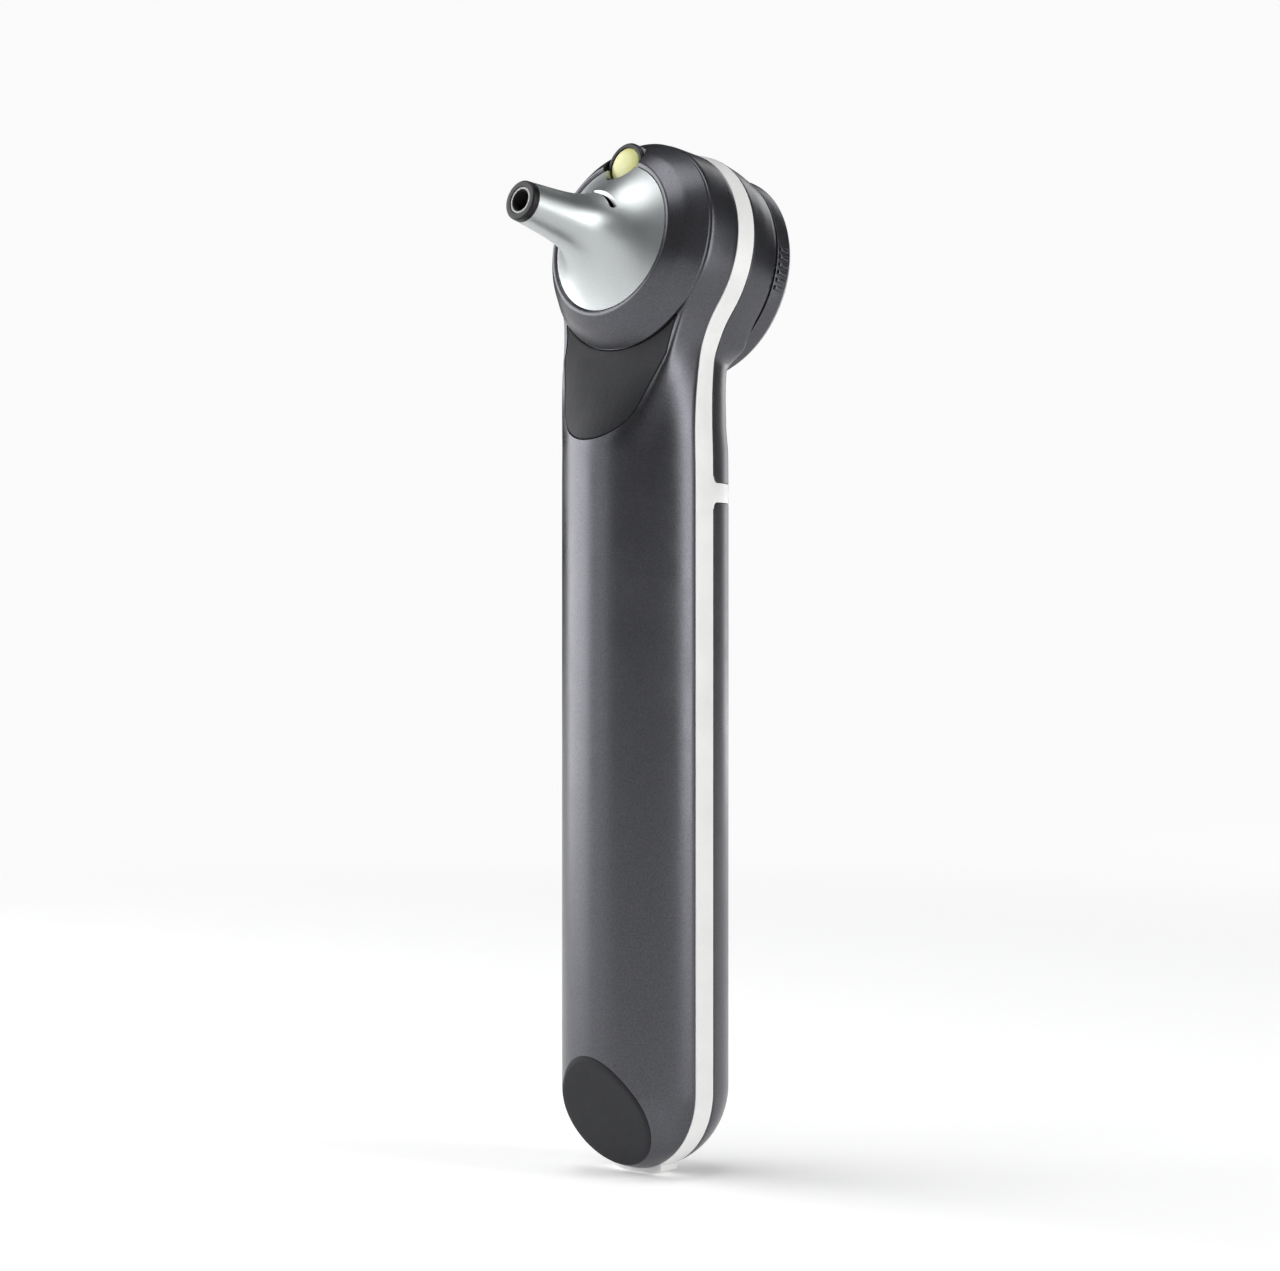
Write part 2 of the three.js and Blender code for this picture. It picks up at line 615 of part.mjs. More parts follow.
// Casing
piece('front_shell', frontShell(), 'shell', root);
piece('mid_band', midBand(), 'white', root);
piece('rear_upper_cover', rearUpperCover(), 'shell', root);
piece('battery_cover', casing.intersect(rearSlab).intersect(belowBranch), 'shell', root);
piece('power_button', underShield(-GAP / 2, PAD_T), 'pad', root);
piece('base_pad', basePad(), 'pad', root);

// Cone side of the head, in the head's frame
piece('collar_ring', collarRing(), 'shell', head);
piece('speculum_cone', speculumCone(), 'silver', head);
const capInnerR = 2.4;
const capBack = TIP_T + TIP_CAP_LENGTH - 0.1;
piece('tip_cap', turned([
  [capInnerR, TIP_T], [TIP_R - 0.3, TIP_T], [TIP_R, TIP_T + 0.3], [TIP_R + 0.1, capBack],
  [capInnerR, capBack],
], 32), 'black', head);
piece('tip_light_ring', ring(TIP_BORE_R, 2.25, TIP_T + 0.2, -19, 24), 'glass', head);
const lampFloorT = FRONT_T - GAP;
piece('lamp_barrel', turned([
  [3.55, LAMP_FACE_T + 0.2], [3.9, LAMP_FACE_T], [LAMP_R, LAMP_FACE_T + 0.4], [LAMP_R, lampFloorT],
  [2.2, lampFloorT], [2.2, lampFloorT - 0.8], [3.55, lampFloorT - 0.8],
], 32).translate([0, 0, LAMP_UP]), 'steel', head);
piece('lamp_lens', turned([
  [0, LAMP_FACE_T - 0.5], [1.8, LAMP_FACE_T - 0.35], [3.0, LAMP_FACE_T + 0.1],
  [3.4, LAMP_FACE_T + 0.5], [3.4, LAMP_FACE_T + 1.6], [0, LAMP_FACE_T + 1.6],
], 24).translate([0, 0, LAMP_UP]), 'phosphor', head);
piece('lamp_led', block(2.4, 1.2, 2.4, 0, lampFloorT - 1.6, LAMP_UP), 'phosphor', head);
piece('cone_seat', ring(OPTIC_R, SEAT_R, SEAT_T, FRONT_T + 3, 24), 'plastic', head);
piece('cone_seal', ring(OPTIC_R, SEAT_R, SEAL_T, SEAT_T - GAP, 24), 'rubber', head);
piece('optic_tube', ring(TUBE_R - 1.1, TUBE_R, -11.5, 6.0, 24), 'plastic', head);

// Focus dial, eyepiece and the loupe that it drives
piece('focus_ring', focusRing(), 'shell', head);
piece('eyepiece_bezel', turned([
  [WINDOW_R, DIAL_T1 - 1.3], [EYEPIECE_R, DIAL_T1 - 1.3], [EYEPIECE_R, DIAL_T1 + 0.2],
  [EYEPIECE_R - 0.5, DIAL_T1 + 0.5], [WINDOW_R + 0.8, DIAL_T1 + 0.5], [WINDOW_R, DIAL_T1 - 0.5],
], 36), 'black', head);
const window = ring(0, WINDOW_R - GAP, DIAL_T1 - 1.2, DIAL_T1 - 0.4, 32);
piece('eyepiece_window', window, 'glass', head);
piece('lens_cell', turned([
  [LENS_R - 0.7, LENS_T - 1.6], [LENS_CELL_R, LENS_T - 1.6], [LENS_CELL_R, LENS_T + 1.6],
  [LENS_R + GAP, LENS_T + 1.6], [LENS_R + GAP, LENS_T - 0.9], [LENS_R - 0.7, LENS_T - 0.9],
], 32), 'plastic', head);
piece('loupe_lens', turned([
  [0, LENS_T - 0.6], [LENS_R, LENS_T - 0.4], [LENS_R, LENS_T + 0.2], [7.4, LENS_T + 0.9],
  [4.2, LENS_T + 1.4], [0, LENS_T + 1.6],
], 32), 'glass', head);

// Light and electronics
piece('led_heatsink', ledHeatsink(), 'steel', head);
piece('main_led', block(2.4, 1.2, 2.4, 0, -0.4, -12.6), 'phosphor', head);
piece('circuit_board', block(13, BOARD_T, 72, 0, BOARD_Y, 73), 'board', root);
piece('tact_switch', block(3.4, 1.6, 3.4, 0, SWITCH_Y, SWITCH_Z), 'black', root);
piece('switch_board', block(10, 1, 9, 0, SWITCH_Y + 1.6, SWITCH_Z), 'board', root);
const buttonSpring = coil(2.9, 2.9, 0.25, 3, 2.6).rotate([90, 0, 0]);
piece('button_spring', buttonSpring.translate([0, SWITCH_Y, SWITCH_Z]), 'steel', root);

// Battery and its carrier
piece('battery_cell', batteryCell(), 'cell', root);
piece('battery_carrier', batteryCarrier(), 'plastic', root);
piece('positive_contact', block(7, 5, 0.4, 0, CELL_Y, CELL_TOP + 1.9), 'gold', root);
const batterySpring = coil(3.2, 5.2, 0.35, 3, 4.4).translate([0, CELL_Y, CELL_Z - 4.8]);
piece('negative_spring', batterySpring, 'steel', root);
for (const [i, z] of SCREW_Z.entries()) {
  const body = screw(2.2, 1.1, 5.5).rotate([0, 0, 180]).translate([0, 3.0, z]);
  piece(`carrier_screw_${i + 1}`, body, 'steel', root);
}

// Charging foot
piece('charge_contact_block', chargeBlock(), 'white', root);
for (const [i, x] of PIN_X.entries()) {
  const profile = [[0, 0.1], [PIN_R - 0.3, 0.1], [PIN_R, 0.4], [PIN_R, FOOT_H], [0, FOOT_H]];
  const pin = turned(profile, 12).rotate([90, 0, 0]);
  piece(`charge_pin_${i + 1}`, pin.translate([x, 0, 0]), 'gold', root);
}

// Wires from the board up to the lamp
const loom = new THREE.CatmullRomCurve3([
  [4.6, -9.8, 109.8], [5.0, -8.8, 118], [6.4, -6.6, 128], [8.6, -3.5, 138], [9.0, -0.5, 146],
  [10.6, 1.2, 158],
].map((p) => new THREE.Vector3(...p)));
piece('wire_loom', sweep(loom, WIRE_R, 16, 8), 'rubber', root);

export default root;
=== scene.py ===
import json
import math

import bpy
import bmesh
import numpy as np
from mathutils import Matrix, Vector
from mathutils.bvhtree import BVHTree
from mathutils.interpolate import poly_3d_calc


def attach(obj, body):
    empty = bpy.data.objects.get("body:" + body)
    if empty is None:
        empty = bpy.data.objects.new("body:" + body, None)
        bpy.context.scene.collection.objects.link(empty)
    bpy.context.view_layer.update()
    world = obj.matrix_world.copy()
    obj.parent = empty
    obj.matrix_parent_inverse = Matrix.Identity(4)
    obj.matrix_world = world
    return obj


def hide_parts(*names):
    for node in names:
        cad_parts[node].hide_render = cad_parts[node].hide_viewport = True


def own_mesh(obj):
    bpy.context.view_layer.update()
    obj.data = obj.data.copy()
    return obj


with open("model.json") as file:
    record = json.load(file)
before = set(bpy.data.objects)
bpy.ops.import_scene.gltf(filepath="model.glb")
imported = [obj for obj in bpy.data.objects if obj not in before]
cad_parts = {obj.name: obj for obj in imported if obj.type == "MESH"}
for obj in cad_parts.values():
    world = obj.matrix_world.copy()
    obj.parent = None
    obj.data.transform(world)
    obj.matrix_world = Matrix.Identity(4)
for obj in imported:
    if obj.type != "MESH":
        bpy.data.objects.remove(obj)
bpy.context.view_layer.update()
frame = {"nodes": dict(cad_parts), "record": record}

# ---------------------------------------------------------------------------
# Sizes, in millimetres. x is across, -y is the side of the cone, z is up.
# ---------------------------------------------------------------------------
MM = 0.001
SEAM = 0.12                      # visible gap between casing parts
WALL = 1.5
EDGE_ROUND = 0.1                 # small rounding of the edges of the casing, band and branch
HANDLE_R = 15.0
BALL_Z = 15.5
HEAD_TILT = math.radians(12)
HEAD_R = 20.0
HEAD_H = 164.7
NECK_W = 14.6
NECK_FILLET_R = 19.0
NECK_START_H = 122.0
BEND_START_H = 131.0
BEND_LENGTH = 20.0
FLATTEN_FROM_H = 129.0
REAR_FLATTEN_FROM_H = 145.0
FLATTEN_TO_H = 149.5
NECK_STEP, NECK_STEP_H = 0.045, (128.5, 134.5)    # share of the round back's depth lost on the neck,
NECK_TAPER, NECK_TAPER_H = 0.07, (133, 146)       # and the heights between which it is lost
BAND_HALF_HANDLE = 2.3
BAND_HALF_HEAD = 1.8
HEAD_FRONT_D = 8.4
HEAD_REAR_D = 9.3
BAND_T = 4.9
FRONT_T = BAND_T - HEAD_FRONT_D
REAR_T = BAND_T + HEAD_REAR_D
COLLAR_OUTER_R = 19.2
COLLAR_INNER_R = 13.5
COLLAR_INNER_T = -9.2
COLLAR_BACK_T = -3.56
TIP_T = -31.65
TIP_R = 3.55
CONE_BASE_T = -9.2
LAMP_UP = 13.7
LAMP_R = 4.3
LAMP_FACE_T = -8.4
LAMP_LENS_R = 3.4
LAMP_PLAY = 0.14                 # between the lamp and the holes for it
SHIELD_R = 10.0
SHIELD_DROP = 26.6
BASE_CUT_TILT = math.radians(25.2)
BASE_CUT_DISTANCE = 11.25
BRANCH_Z = 121.7
BRANCH_H = 3.6
DIAL_R = 19.2
DIAL_T0 = REAR_T + 0.3
DIAL_T1 = 18.6
SHIELD_RIM = 1.6                 # the casing keeps this much beside the button pad
PAD_T = 1.4
PAD_EDGE_R = 0.3
PAD_POCKET_FRONT_T = -14.0        # the cutter of the pad's pocket starts clear of the casing here
PAD_POCKET_PLAY = 1.5            # room behind the pad
BASE_RIM = 0.35                  # height of the base pad's rim
BASE_EDGE_R = 0.22
CORNER_R = 1.2                   # rounded corners of the rear covers
FOOT_HALF = 6.0
FOOT_HALF_DEPTH = 2.12
FOOT_PLAY = 0.08
FOOT_ROUND_R = 15.9
PIN_X = (-2.2, 2.2)
PIN_R = 0.9
PIN_HOLE_R, PIN_HOLE_MOUTH_R = 1.15, 1.35
TIP_CAP_LENGTH = 1.3
TIP_CAP_BORE_R = 2.42
TIP_TUBE_END_T = -19             # the light ring and the bore's liner reach this far in
CONE_WALL = 0.7
CONE_FIT = 0.12                  # between the cone and the collar
CONE_BACK_T = -5.3
LENS_NOTCH_R = 3.55              # the cone's edge leaves the lamp's lens free
SLOT_T = -15.0                   # the arc slot in the cone: place, width and angles from the top
SLOT_W = 1.2
SLOT_FROM, SLOT_TO = -7, 62
EYEPIECE_R = 14.4
DIAL_FIT = 0.12                  # between the dial and the eyepiece ring
DIAL_SPIGOT_R, DIAL_BORE_R = 13.1, 12.2
RIB_COUNT = 6                    # on each side of the dial
RIB_HALF_W = 0.42
RIB_RISE = 0.3
RIB_PITCH = math.radians(4.3)
BAND_WALL = 1.8


def smooth(low, high, v):
    """A soft step from 0 at low to 1 at high."""
    f = np.clip((v - low) / (high - low), 0, 1)
    return f * f * (3 - 2 * f)


def lerp(a, b, f):
    return a + (b - a) * f


# ---------------------------------------------------------------------------
# The casing's skin: the CAD's surface, drawn finely, with the back of the neck brought in a little
# ---------------------------------------------------------------------------
BEND_RATE = HEAD_TILT / BEND_LENGTH


def bend(x, h, d):
    """Point across x, up the spine h and ahead of the band's middle d, in the row frame."""
    inside = np.clip(h - BEND_START_H, 0, BEND_LENGTH)
    below = np.minimum(h - BEND_START_H, 0)
    past = np.maximum(h - BEND_START_H - BEND_LENGTH, 0)
    angle = inside * BEND_RATE
    y = (1 - np.cos(angle)) / BEND_RATE + past * math.sin(HEAD_TILT)
    z = BEND_START_H + below + np.sin(angle) / BEND_RATE + past * math.cos(HEAD_TILT)
    return np.stack(np.broadcast_arrays(x, y - d * np.cos(angle), z + d * np.sin(angle)), -1)


AXIS = np.array([0, math.cos(HEAD_TILT), -math.sin(HEAD_TILT)])      # backwards along the head
HEAD_UP = np.array([0, math.sin(HEAD_TILT), math.cos(HEAD_TILT)])
ACROSS = np.array([1.0, 0, 0])
HEAD_REF = bend(0.0, np.float64(HEAD_H), BAND_T)


def head_point(x, t, up):
    """A place in the head's own frame, in the row frame."""
    x, t, up = (np.asarray(v, float)[..., None] for v in np.broadcast_arrays(x, t, up))
    return HEAD_REF + x * ACROSS + t * AXIS + up * HEAD_UP


FILLET_SWEEP = math.acos((NECK_W + NECK_FILLET_R) / (HEAD_R + NECK_FILLET_R))
FILLET_H = HEAD_H - math.sqrt((HEAD_R + NECK_FILLET_R) ** 2 - (NECK_W + NECK_FILLET_R) ** 2)


def outline_stations(ball=26, straight=10, neck=26, fillet=18, head=56):
    """Half outline at the band's middle, low to high: rows of x, h, inward normal x, h, and reach."""
    rows = []

    def arc(cx, ch, r, angles, sign):
        for a in angles:
            c, s = math.cos(a), math.sin(a)
            x = cx + r * c
            reach = r if cx == 0 else x / (-sign * c)
            rows.append((max(x, 0.0), ch + r * s, sign * c, sign * s, reach))

    arc(0, BALL_Z, HANDLE_R, [(i / ball - 1) * math.pi / 2 for i in range(ball)], -1)
    for h in np.linspace(BALL_Z, NECK_START_H, straight, endpoint=False):
        rows.append((HANDLE_R, h, -1, 0, HANDLE_R))
    for h in np.linspace(NECK_START_H, FILLET_H, neck, endpoint=False):
        x = lerp(HANDLE_R, NECK_W, float(smooth(NECK_START_H, FILLET_H, h)))
        rows.append((x, h, -1, 0, x))
    fillet_angles = [math.pi - i / fillet * FILLET_SWEEP for i in range(fillet)]
    arc(NECK_W + NECK_FILLET_R, FILLET_H, NECK_FILLET_R, fillet_angles, 1)
    arc(0, HEAD_H, HEAD_R, np.linspace(-FILLET_SWEEP, math.pi / 2, head + 1), -1)
    return np.array(rows)


# Section of the flat-faced head: fractions of reach and depth at angles on the round handle.
FRONT_SECTION = np.array([(0, 1, 0), (10, 0.983, 0.214), (26, 0.976, 0.6), (40, 0.968, 0.9),
                          (44, 0.963, 0.965), (50, 0.95, 1), (68, 0.6, 1), (90, 0, 1)])
REAR_SECTION = np.array([(0, 1, 0), (10, 1.016, 0.194), (26, 1.0, 0.55), (38, 0.972, 0.86),
                         (44, 0.955, 0.97), (50, 0.93, 1), (68, 0.6, 1), (90, 0, 1)])


def band_half(h):
    """Half the depth of the white band."""
    return lerp(BAND_HALF_HANDLE, BAND_HALF_HEAD, smooth(FLATTEN_FROM_H, FLATTEN_TO_H, h))


def rear_depth(h):
    """The round back loses a little of its depth on the neck, in a short step and then gradually."""
    return 1 - NECK_STEP * smooth(*NECK_STEP_H, h) - NECK_TAPER * smooth(*NECK_TAPER_H, h)


def skin_point(station, angle, side, inset=0.0):
    """A point of the skin at a station of the outline and an angle (degrees) round the section."""
    x, h, nx, nh, reach = (station[..., k] for k in range(5))
    table = FRONT_SECTION if side > 0 else REAR_SECTION
    start = FLATTEN_FROM_H if side > 0 else REAR_FLATTEN_FROM_H
    flat = smooth(start, FLATTEN_TO_H, h)
    reach_f = np.interp(angle, table[:, 0], table[:, 1])
    depth_f = np.interp(angle, table[:, 0], table[:, 2])
    head_depth = (HEAD_FRONT_D if side > 0 else HEAD_REAR_D) - inset
    turn = np.radians(angle)
    along = lerp(np.cos(turn), reach_f, flat) * (reach - inset)
    round_depth = HANDLE_R * (1 if side > 0 else rear_depth(h)) - inset
    depth = lerp(np.sin(turn) * round_depth, depth_f * head_depth, flat)
    inward = reach - along
    return bend(np.maximum(x + nx * inward, 0), h + nh * inward, side * depth)


def edge_angle(station, depth, side):
    """The section angle at which the skin reaches a given depth from the band's middle."""
    low, high = np.zeros(len(station)), np.full(len(station), 45.0)
    table = FRONT_SECTION if side > 0 else REAR_SECTION
    start = FLATTEN_FROM_H if side > 0 else REAR_FLATTEN_FROM_H
    head_depth = HEAD_FRONT_D if side > 0 else HEAD_REAR_D
    flat = smooth(start, FLATTEN_TO_H, station[:, 1])
    round_depth = HANDLE_R * (1 if side > 0 else rear_depth(station[:, 1]))
    for _ in range(30):
        mid = (low + high) / 2
        now = lerp(np.sin(np.radians(mid)) * round_depth,
                   np.interp(mid, table[:, 0], table[:, 2]) * head_depth, flat)
        low, high = np.where(now < depth, mid, low), np.where(now < depth, high, mid)
    return low


# ---------------------------------------------------------------------------
# Mesh helpers
# ---------------------------------------------------------------------------
def new_object(name, points_mm, faces):
    """A mesh object from millimetre points, with doubled points merged and faces turned outwards."""
    mesh = bpy.data.meshes.new(name)
    mesh.from_pydata((np.asarray(points_mm).reshape(-1, 3) * MM).tolist(), [], faces)
    work = bmesh.new()
    work.from_mesh(mesh)
    bmesh.ops.remove_doubles(work, verts=work.verts, dist=2e-6)
    bmesh.ops.dissolve_degenerate(work, edges=work.edges, dist=1e-7)
    bmesh.ops.recalc_face_normals(work, faces=work.faces)
    work.to_mesh(mesh)
    work.free()
    obj = bpy.data.objects.new(name, mesh)
    bpy.context.scene.collection.objects.link(obj)
    return obj


def grid_faces(rows, cols, base=0, loop_rows=False, loop_cols=False):
    """Four-sided faces between the points of a grid, closed round its rows or columns if asked."""
    faces = []
    for i in range(rows if loop_rows else rows - 1):
        for j in range(cols if loop_cols else cols - 1):
            here, below = base + i * cols, base + (i + 1) % rows * cols
            j2 = (j + 1) % cols
            faces.append((here + j, here + j2, below + j2, below + j))
    return faces


def capped(name, grid):
    """A closed mesh from a row of closed loops of points, with a flat face over each end."""
    rows, cols = grid.shape[:2]
    faces = grid_faces(rows, cols, loop_cols=True)
    faces.append(tuple(range(cols)))
    faces.append(tuple(reversed([(rows - 1) * cols + k for k in range(cols)])))
    obj = new_object(name, grid, faces)
    outward(obj)
    return obj


def mirrored(half):
    """The mirror image of points on the other side of the middle plane."""
    return half * np.array([-1, 1, 1])


def quarter(steps):
    """Angles of a quarter turn, for a rounded edge."""
    return np.linspace(0, math.pi / 2, steps)


def outward(obj):
    """Turns a closed mesh's faces outwards, from its signed volume."""
    work = bmesh.new()
    work.from_mesh(obj.data)
    if work.calc_volume(signed=True) < 0:
        bmesh.ops.reverse_faces(work, faces=work.faces)
    work.to_mesh(obj.data)
    work.free()


def apply_modifiers(obj):
    """Puts the modifiers' result in place of the mesh."""
    bpy.context.view_layer.update()
    graph = bpy.context.evaluated_depsgraph_get()
    mesh = bpy.data.meshes.new_from_object(obj.evaluated_get(graph))
    obj.modifiers.clear()
    old = obj.data
    obj.data = mesh
    bpy.data.meshes.remove(old)


def shade(obj, sharp_degrees=35):
    """Smooth shading, apart from edges sharper than an angle."""
    obj.data.polygons.foreach_set("use_smooth", [True] * len(obj.data.polygons))
    obj.data.set_sharp_from_angle(angle=math.radians(sharp_degrees))
    obj.data.update()


def cut(obj, *cutters, sharp_degrees=35, cut_slot=None):
    """Cuts a piece and gives what is left of its surface the shading that it had before. Faces that
    the cut made are flat, and take the material at place cut_slot if that is given."""
    shade(obj, sharp_degrees)
    before = obj.data.copy()
    for cutter in cutters:
        modifier = obj.modifiers.new("cut", "BOOLEAN")
        modifier.operation = "DIFFERENCE"
        modifier.solver = "EXACT"
        modifier.object = cutter
        apply_modifiers(obj)
        bpy.data.objects.remove(cutter)
    keep_shading(obj, before, cut_slot)
    bpy.data.meshes.remove(before)


SURFACE_REACH = 1e-5                 # metres: a face this near the old surface is part of it


def keep_shading(obj, before, cut_slot):
    """Gives each face on the old surface that surface's corner normals, blended at its own corners."""
    mesh = obj.data
    coords = [v.co.copy() for v in before.vertices]
    polygons = [tuple(p.vertices) for p in before.polygons]
    starts = [p.loop_start for p in before.polygons]
    flat_normals = [p.normal.copy() for p in before.polygons]
    corner = [Vector(n.vector) for n in before.corner_normals]
    tree = BVHTree.FromPolygons(coords, polygons)
    normals = [None] * len(mesh.loops)
    for poly in mesh.polygons:
        _, _, index, distance = tree.find_nearest(poly.center)
        kept = distance < SURFACE_REACH and poly.normal.dot(flat_normals[index]) > 0.95
        for loop in poly.loop_indices:
            at = mesh.vertices[mesh.loops[loop].vertex_index].co
            if not kept:
                normals[loop] = poly.normal.copy()
                continue
            _, _, face, _ = tree.find_nearest(at.lerp(poly.center, 0.02))
            if flat_normals[face].dot(poly.normal) < 0.7:
                face = index
            ring = polygons[face]
            weights = poly_3d_calc([coords[v] for v in ring], at)
            blended = Vector((0, 0, 0))
            for k, weight in enumerate(weights):
                blended += corner[starts[face] + k] * weight
            normals[loop] = blended.normalized() if blended.length > 1e-6 else poly.normal.copy()
        if cut_slot is not None and not kept:
            poly.material_index = cut_slot
    mesh.normals_split_custom_set(normals)


def thicken(obj, inside_point_mm):
    """Gives an open skin its wall and rounds the edges of the wall."""
    mesh = obj.data
    middle = Vector(inside_point_mm) * MM
    face = max(mesh.polygons, key=lambda p: p.area)
    if face.normal.dot(face.center - middle) < 0:
        mesh.flip_normals()
    solid = obj.modifiers.new("wall", "SOLIDIFY")
    solid.thickness = WALL * MM
    solid.offset = -1
    solid.use_even_offset = True
    bevel = obj.modifiers.new("edge", "BEVEL")
    bevel.width = EDGE_ROUND * MM
    bevel.segments = 2
    bevel.limit_method = "ANGLE"
    bevel.angle_limit = math.radians(50)
    apply_modifiers(obj)
    outward(obj)


def rounded_profile(points, steps=4):
    """Turns [(r, t) or (r, t, radius)] into a fine polyline with its marked corners rounded."""
    result = []
    for i, point in enumerate(points):
        radius = point[2] if len(point) > 2 else 0
        here = np.array(point[:2], float)
        if radius <= 0 or i in (0, len(points) - 1):
            result.append(here)
            continue
        before = np.array(points[i - 1][:2], float) - here
        after = np.array(points[i + 1][:2], float) - here
        u, v = before / np.linalg.norm(before), after / np.linalg.norm(after)
        half = math.acos(np.clip(u @ v, -1, 1)) / 2
        reach = min(radius / math.tan(half), 0.49 * np.linalg.norm(before), 0.49 * np.linalg.norm(after))
        a, b = here + u * reach, here + v * reach
        for k in range(steps + 1):
            f = k / steps
            result.append((1 - f) ** 2 * a + 2 * f * (1 - f) * here + f * f * b)
    return np.array(result)


def lathe(name, points, segments, up=0.0, closed=True):
    """A turned piece about the head axis, or about an axis up above it, from (r, t[, radius]) points.
    A profile that starts and ends on the axis isn't closed."""
    profile = rounded_profile(points)
    if closed and np.linalg.norm(profile[0] - profile[-1]) < 1e-9:
        profile = profile[:-1]
    angles = np.linspace(0, 2 * math.pi, segments, endpoint=False)
    r, t = profile[:, 0][:, None], profile[:, 1][:, None]
    grid = head_point(r * np.sin(angles), t + 0 * angles, up + r * np.cos(angles))
    faces = grid_faces(len(profile), segments, loop_rows=closed, loop_cols=True)
    obj = new_object(name, grid, faces)
    outward(obj)
    shade(obj)
    return obj


def joined(name, parts):
    """One new object in place of several."""
    work = bmesh.new()
    for part in parts:
        work.from_mesh(part.data)
    mesh = bpy.data.meshes.new(name)
    work.to_mesh(mesh)
    work.free()
    for part in parts:
        bpy.data.objects.remove(part)
    obj = bpy.data.objects.new(name, mesh)
    bpy.context.scene.collection.objects.link(obj)
    shade(obj)
    return obj


# ---------------------------------------------------------------------------
# Casing
# ---------------------------------------------------------------------------
STATIONS = outline_stations()


def section_fractions():
    """Fractions of the way round the section, closer together at the head's corner."""
    return np.concatenate([np.linspace(0, 0.27, 7), np.linspace(0.3, 0.56, 13), np.linspace(0.6, 1, 7)])


def shell_skin(name, stations, side, edge_depth, corner=None):
    """One side's open skin from the band's edge to the centre line, both halves. corner gives a
    height on the outline how far its edge is moved in, in millimetres, for a rounded corner."""
    start = edge_angle(stations, edge_depth(stations[:, 1]), side)
    if corner:
        start = start + np.degrees(corner(stations[:, 1]) / HANDLE_R)
    angles = start[:, None] + (90 - start[:, None]) * section_fractions()
    half = skin_point(np.repeat(stations[:, None], angles.shape[1], 1), angles, side)
    rows, cols = half.shape[:2]
    faces = grid_faces(rows, cols) + grid_faces(rows, cols, base=rows * cols)
    return new_object(name, np.concatenate([half, mirrored(half)]), faces)


def station_at(h):
    """The outline's station at a height on the straight sides or the neck."""
    x = float(lerp(HANDLE_R, NECK_W, smooth(NECK_START_H, FILLET_H, h)))
    return np.array([x, h, -1, 0, x])


def with_heights(stations, low, high, extra):
    """The stations between two heights, with those at the heights in extra put in between."""
    kept = [s for s in stations if low + 0.05 < s[1] < high - 0.05 and
            all(abs(s[1] - h) > 0.05 for h in extra)]
    return np.array(sorted(kept + [station_at(h) for h in extra], key=lambda s: s[1]))


def tree_of(obj):
    """A search tree of a mesh, for finding where lines meet it."""
    work = bmesh.new()
    work.from_mesh(obj.data)
    tree = BVHTree.FromBMesh(work)
    work.free()
    return tree


AXIS_V = Vector(AXIS)


def skin_t(tree, x, up, side):
    """Where a line along the head axis meets the skin, as t in millimetres."""
    t0 = -40.0 if side > 0 else 40.0
    origin = Vector(head_point(x, t0, up).reshape(3)) * MM
    hit = tree.ray_cast(origin, AXIS_V * side)
    return t0 + side * hit[3] / MM if hit[0] is not None else None


# ---- the front shell, with the button's pocket and the flat of the base pad
front_full = shell_skin("front_full", STATIONS, 1, lambda h: 0 * h)
front_tree = tree_of(front_full)
bpy.data.objects.remove(front_full)


def pad_reach(theta):
    """Outer radius of the button pad at an angle from straight down, about the head axis."""
    ray = np.array([math.sin(theta), -math.cos(theta)])
    big, small = COLLAR_OUTER_R, SHIELD_R
    lean = math.asin((big - small) / SHIELD_DROP)
    hull = big
    centre = np.array([0.0, -SHIELD_DROP])
    b = centre @ ray
    inside = b * b - centre @ centre + small * small
    if inside > 0:
        hull = max(hull, b + math.sqrt(inside))
    normal = np.array([math.cos(lean), -math.sin(lean)])
    facing = normal @ np.array([abs(ray[0]), ray[1]])
    if facing > 1e-6:
        at = big / facing
        foot = at * (np.array([abs(ray[0]), ray[1]]) - normal * facing)
        if 0 <= foot @ np.array([-math.sin(lean), -math.cos(lean)]) <= SHIELD_DROP * math.cos(lean):
            hull = max(hull, at)
    outline = STATIONS[:, :2] + STATIONS[:, 2:4] * SHIELD_RIM - np.array([0, HEAD_H])
    around = np.arctan2(outline[:, 0], -outline[:, 1])
    order = np.argsort(around)
    limit = np.interp(abs(theta), around[order], np.hypot(outline[:, 0], outline[:, 1])[order])
    return min(hull, limit)


def pad_sweep(name, section, half_angle, columns=150):
    """Sweeps a section round the pad. section(inner, outer, skin) gives a loop of (radius, t)."""
    rows = []
    for theta in np.linspace(-half_angle, half_angle, columns):
        outer = pad_reach(theta)

        def depth_at(radius, theta=theta):
            return skin_t(front_tree, radius * math.sin(theta), -radius * math.cos(theta), 1)

        loop = section(COLLAR_OUTER_R, outer, depth_at)
        rows.append([head_point(r * math.sin(theta), t, -r * math.cos(theta)) for r, t in loop])
    return capped(name, np.array(rows))


def pad_half_angle(least):
    """Angle from straight down at which the pad has narrowed to a least width."""
    for theta in np.linspace(0.3, 1.3, 300):
        if pad_reach(theta) - COLLAR_OUTER_R < least:
            return theta
    return 1.3


